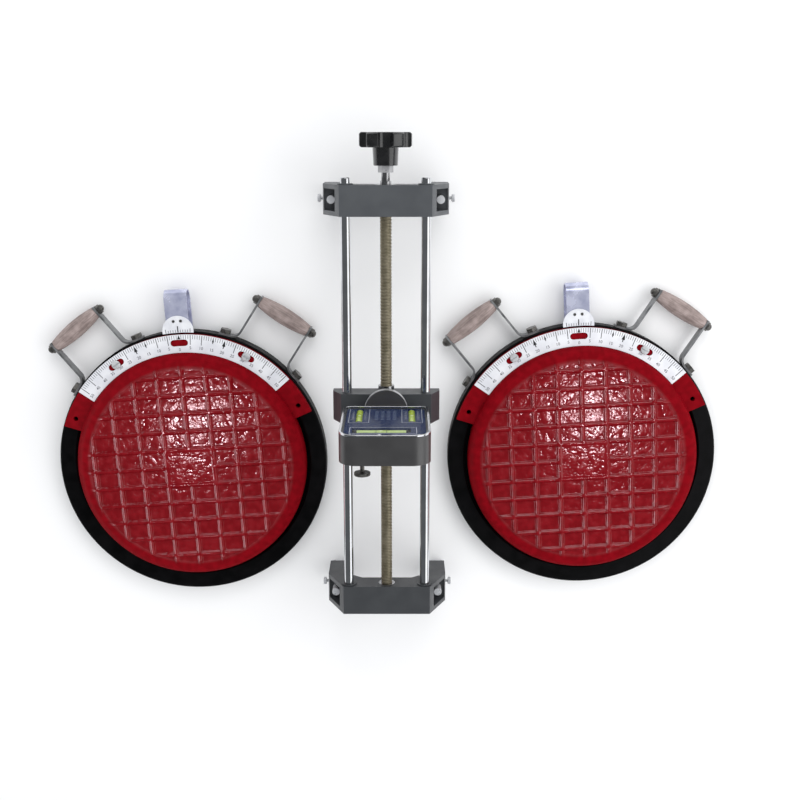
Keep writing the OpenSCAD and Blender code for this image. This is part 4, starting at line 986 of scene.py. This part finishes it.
# Adjusting screw
# A knurled steel screw under the housing that lifts one end of the long vial's cradle.
rounded("adjusting_screw", 0.35, dark_steel)
ADJUST_HEAD = 4 * MM
adjust_low, adjust_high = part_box("adjusting_screw")
head_middle = (adjust_low + adjust_high) / 2
head_middle.y = adjust_low.y + ADJUST_HEAD / 2
knurl("adjusting_screw_knurl", head_middle, Vector((0, 1, 0)), (adjust_high.x - adjust_low.x) / 2,
      ADJUST_HEAD * 0.7, 48, dark_steel, "adjuster")

# Floor, light and camera
# A pale floor under soft light from above, seen as in the photograph: nearly straight down, from
# a little towards the knob. Four more lamps light only the red plates, which were lit apart there.
floor_white = surface("floor_white", (0.86, 0.86, 0.86), (0.88, 0.88, 0.88), (0.75, 0.85),
                      fine=300, coarse=4, relief=0.0)
bpy.ops.mesh.primitive_plane_add(size=60, location=(0, 0, -0.2 * MM))
floor = bpy.context.object
floor.name = "floor"
coat_with(floor, floor_white)

TILT = math.radians(13.2)
DISTANCE = 1.5
FOCAL_PIXELS = 1132
PHOTO_PIXELS = 800
AIM_SHIFT = (0.017, -0.0149)
hub = pivot["gauge_swivel"]
aim = Vector((hub.x + AIM_SHIFT[0], hub.y + AIM_SHIFT[1], 0))
bpy.ops.object.camera_add(location=aim + DISTANCE * Vector((0, math.sin(TILT), math.cos(TILT))),
                          rotation=(-TILT, 0, 0))
camera = bpy.context.object
camera.data.sensor_width = 36
camera.data.lens = camera.data.sensor_width * FOCAL_PIXELS / PHOTO_PIXELS
bpy.context.scene.camera = camera


def softbox(name, place, target, size, power):
    """A rectangular lamp that faces a target."""
    bpy.ops.object.light_add(type="AREA", location=place)
    lamp = bpy.context.object
    lamp.name = name
    lamp.data.shape = "RECTANGLE"
    lamp.data.size, lamp.data.size_y = size
    lamp.data.energy = power
    lamp.rotation_euler = (Vector(target) - Vector(place)).to_track_quat("-Z", "Y").to_euler()
    return lamp


red_plates = bpy.data.collections.new("red_plates")
for side in SIDES:
    red_plates.objects.link(bpy.data.objects[side + "_top_plate_finished"])
plate_lamps = [
    softbox("left_glint", (-0.513, -0.426, 1.5), (-0.25, -0.1, 0), (0.06, 0.08), 1.2),
    softbox("right_glint", (0.525, -0.408, 1.5), (0.25, -0.1, 0), (0.06, 0.08), 1.2),
    softbox("rib_side_light", (-2.3, -0.85, 1.3), (0, -0.12, 0.04), (2.6, 1.2), 100),
    softbox("rib_head_light", (0, 2.4, 0.8), (0, -0.12, 0.04), (2.4, 0.8), 18),
]
for lamp in plate_lamps:
    lamp.data.color = (1, 0.78, 0.84)
    lamp.visible_diffuse = False
    lamp.light_linking.receiver_collection = red_plates
softbox("head_light", (0.3, 2.0, 1.6), (0, 0, 0.05), (1.6, 0.8), 12)
softbox("side_light", (1.6, -0.25, 1.2), (0, 0, 0.05), (2.6, 1.4), 16)
world = bpy.data.worlds.new("studio")
world.use_nodes = True
sky = world.node_tree
tent = sky.nodes["Background"]
tent.inputs["Color"].default_value = (0.97, 0.98, 1.0, 1)
tent.inputs["Strength"].default_value = 1.05
dim_room = sky.nodes.new("ShaderNodeBackground")
dim_room.inputs["Color"].default_value = (0.12, 0.125, 0.13, 1)
ray = sky.nodes.new("ShaderNodeLightPath")
either = sky.nodes.new("ShaderNodeMixShader")
sky.links.new(ray.outputs["Is Glossy Ray"], either.inputs["Fac"])
sky.links.new(tent.outputs["Background"], either.inputs[1])
sky.links.new(dim_room.outputs["Background"], either.inputs[2])
sky.links.new(either.outputs["Shader"], sky.nodes["World Output"].inputs["Surface"])
world.cycles.sampling_method = "NONE"
bpy.context.scene.world = world
bpy.context.scene.view_settings.view_transform = "Standard"
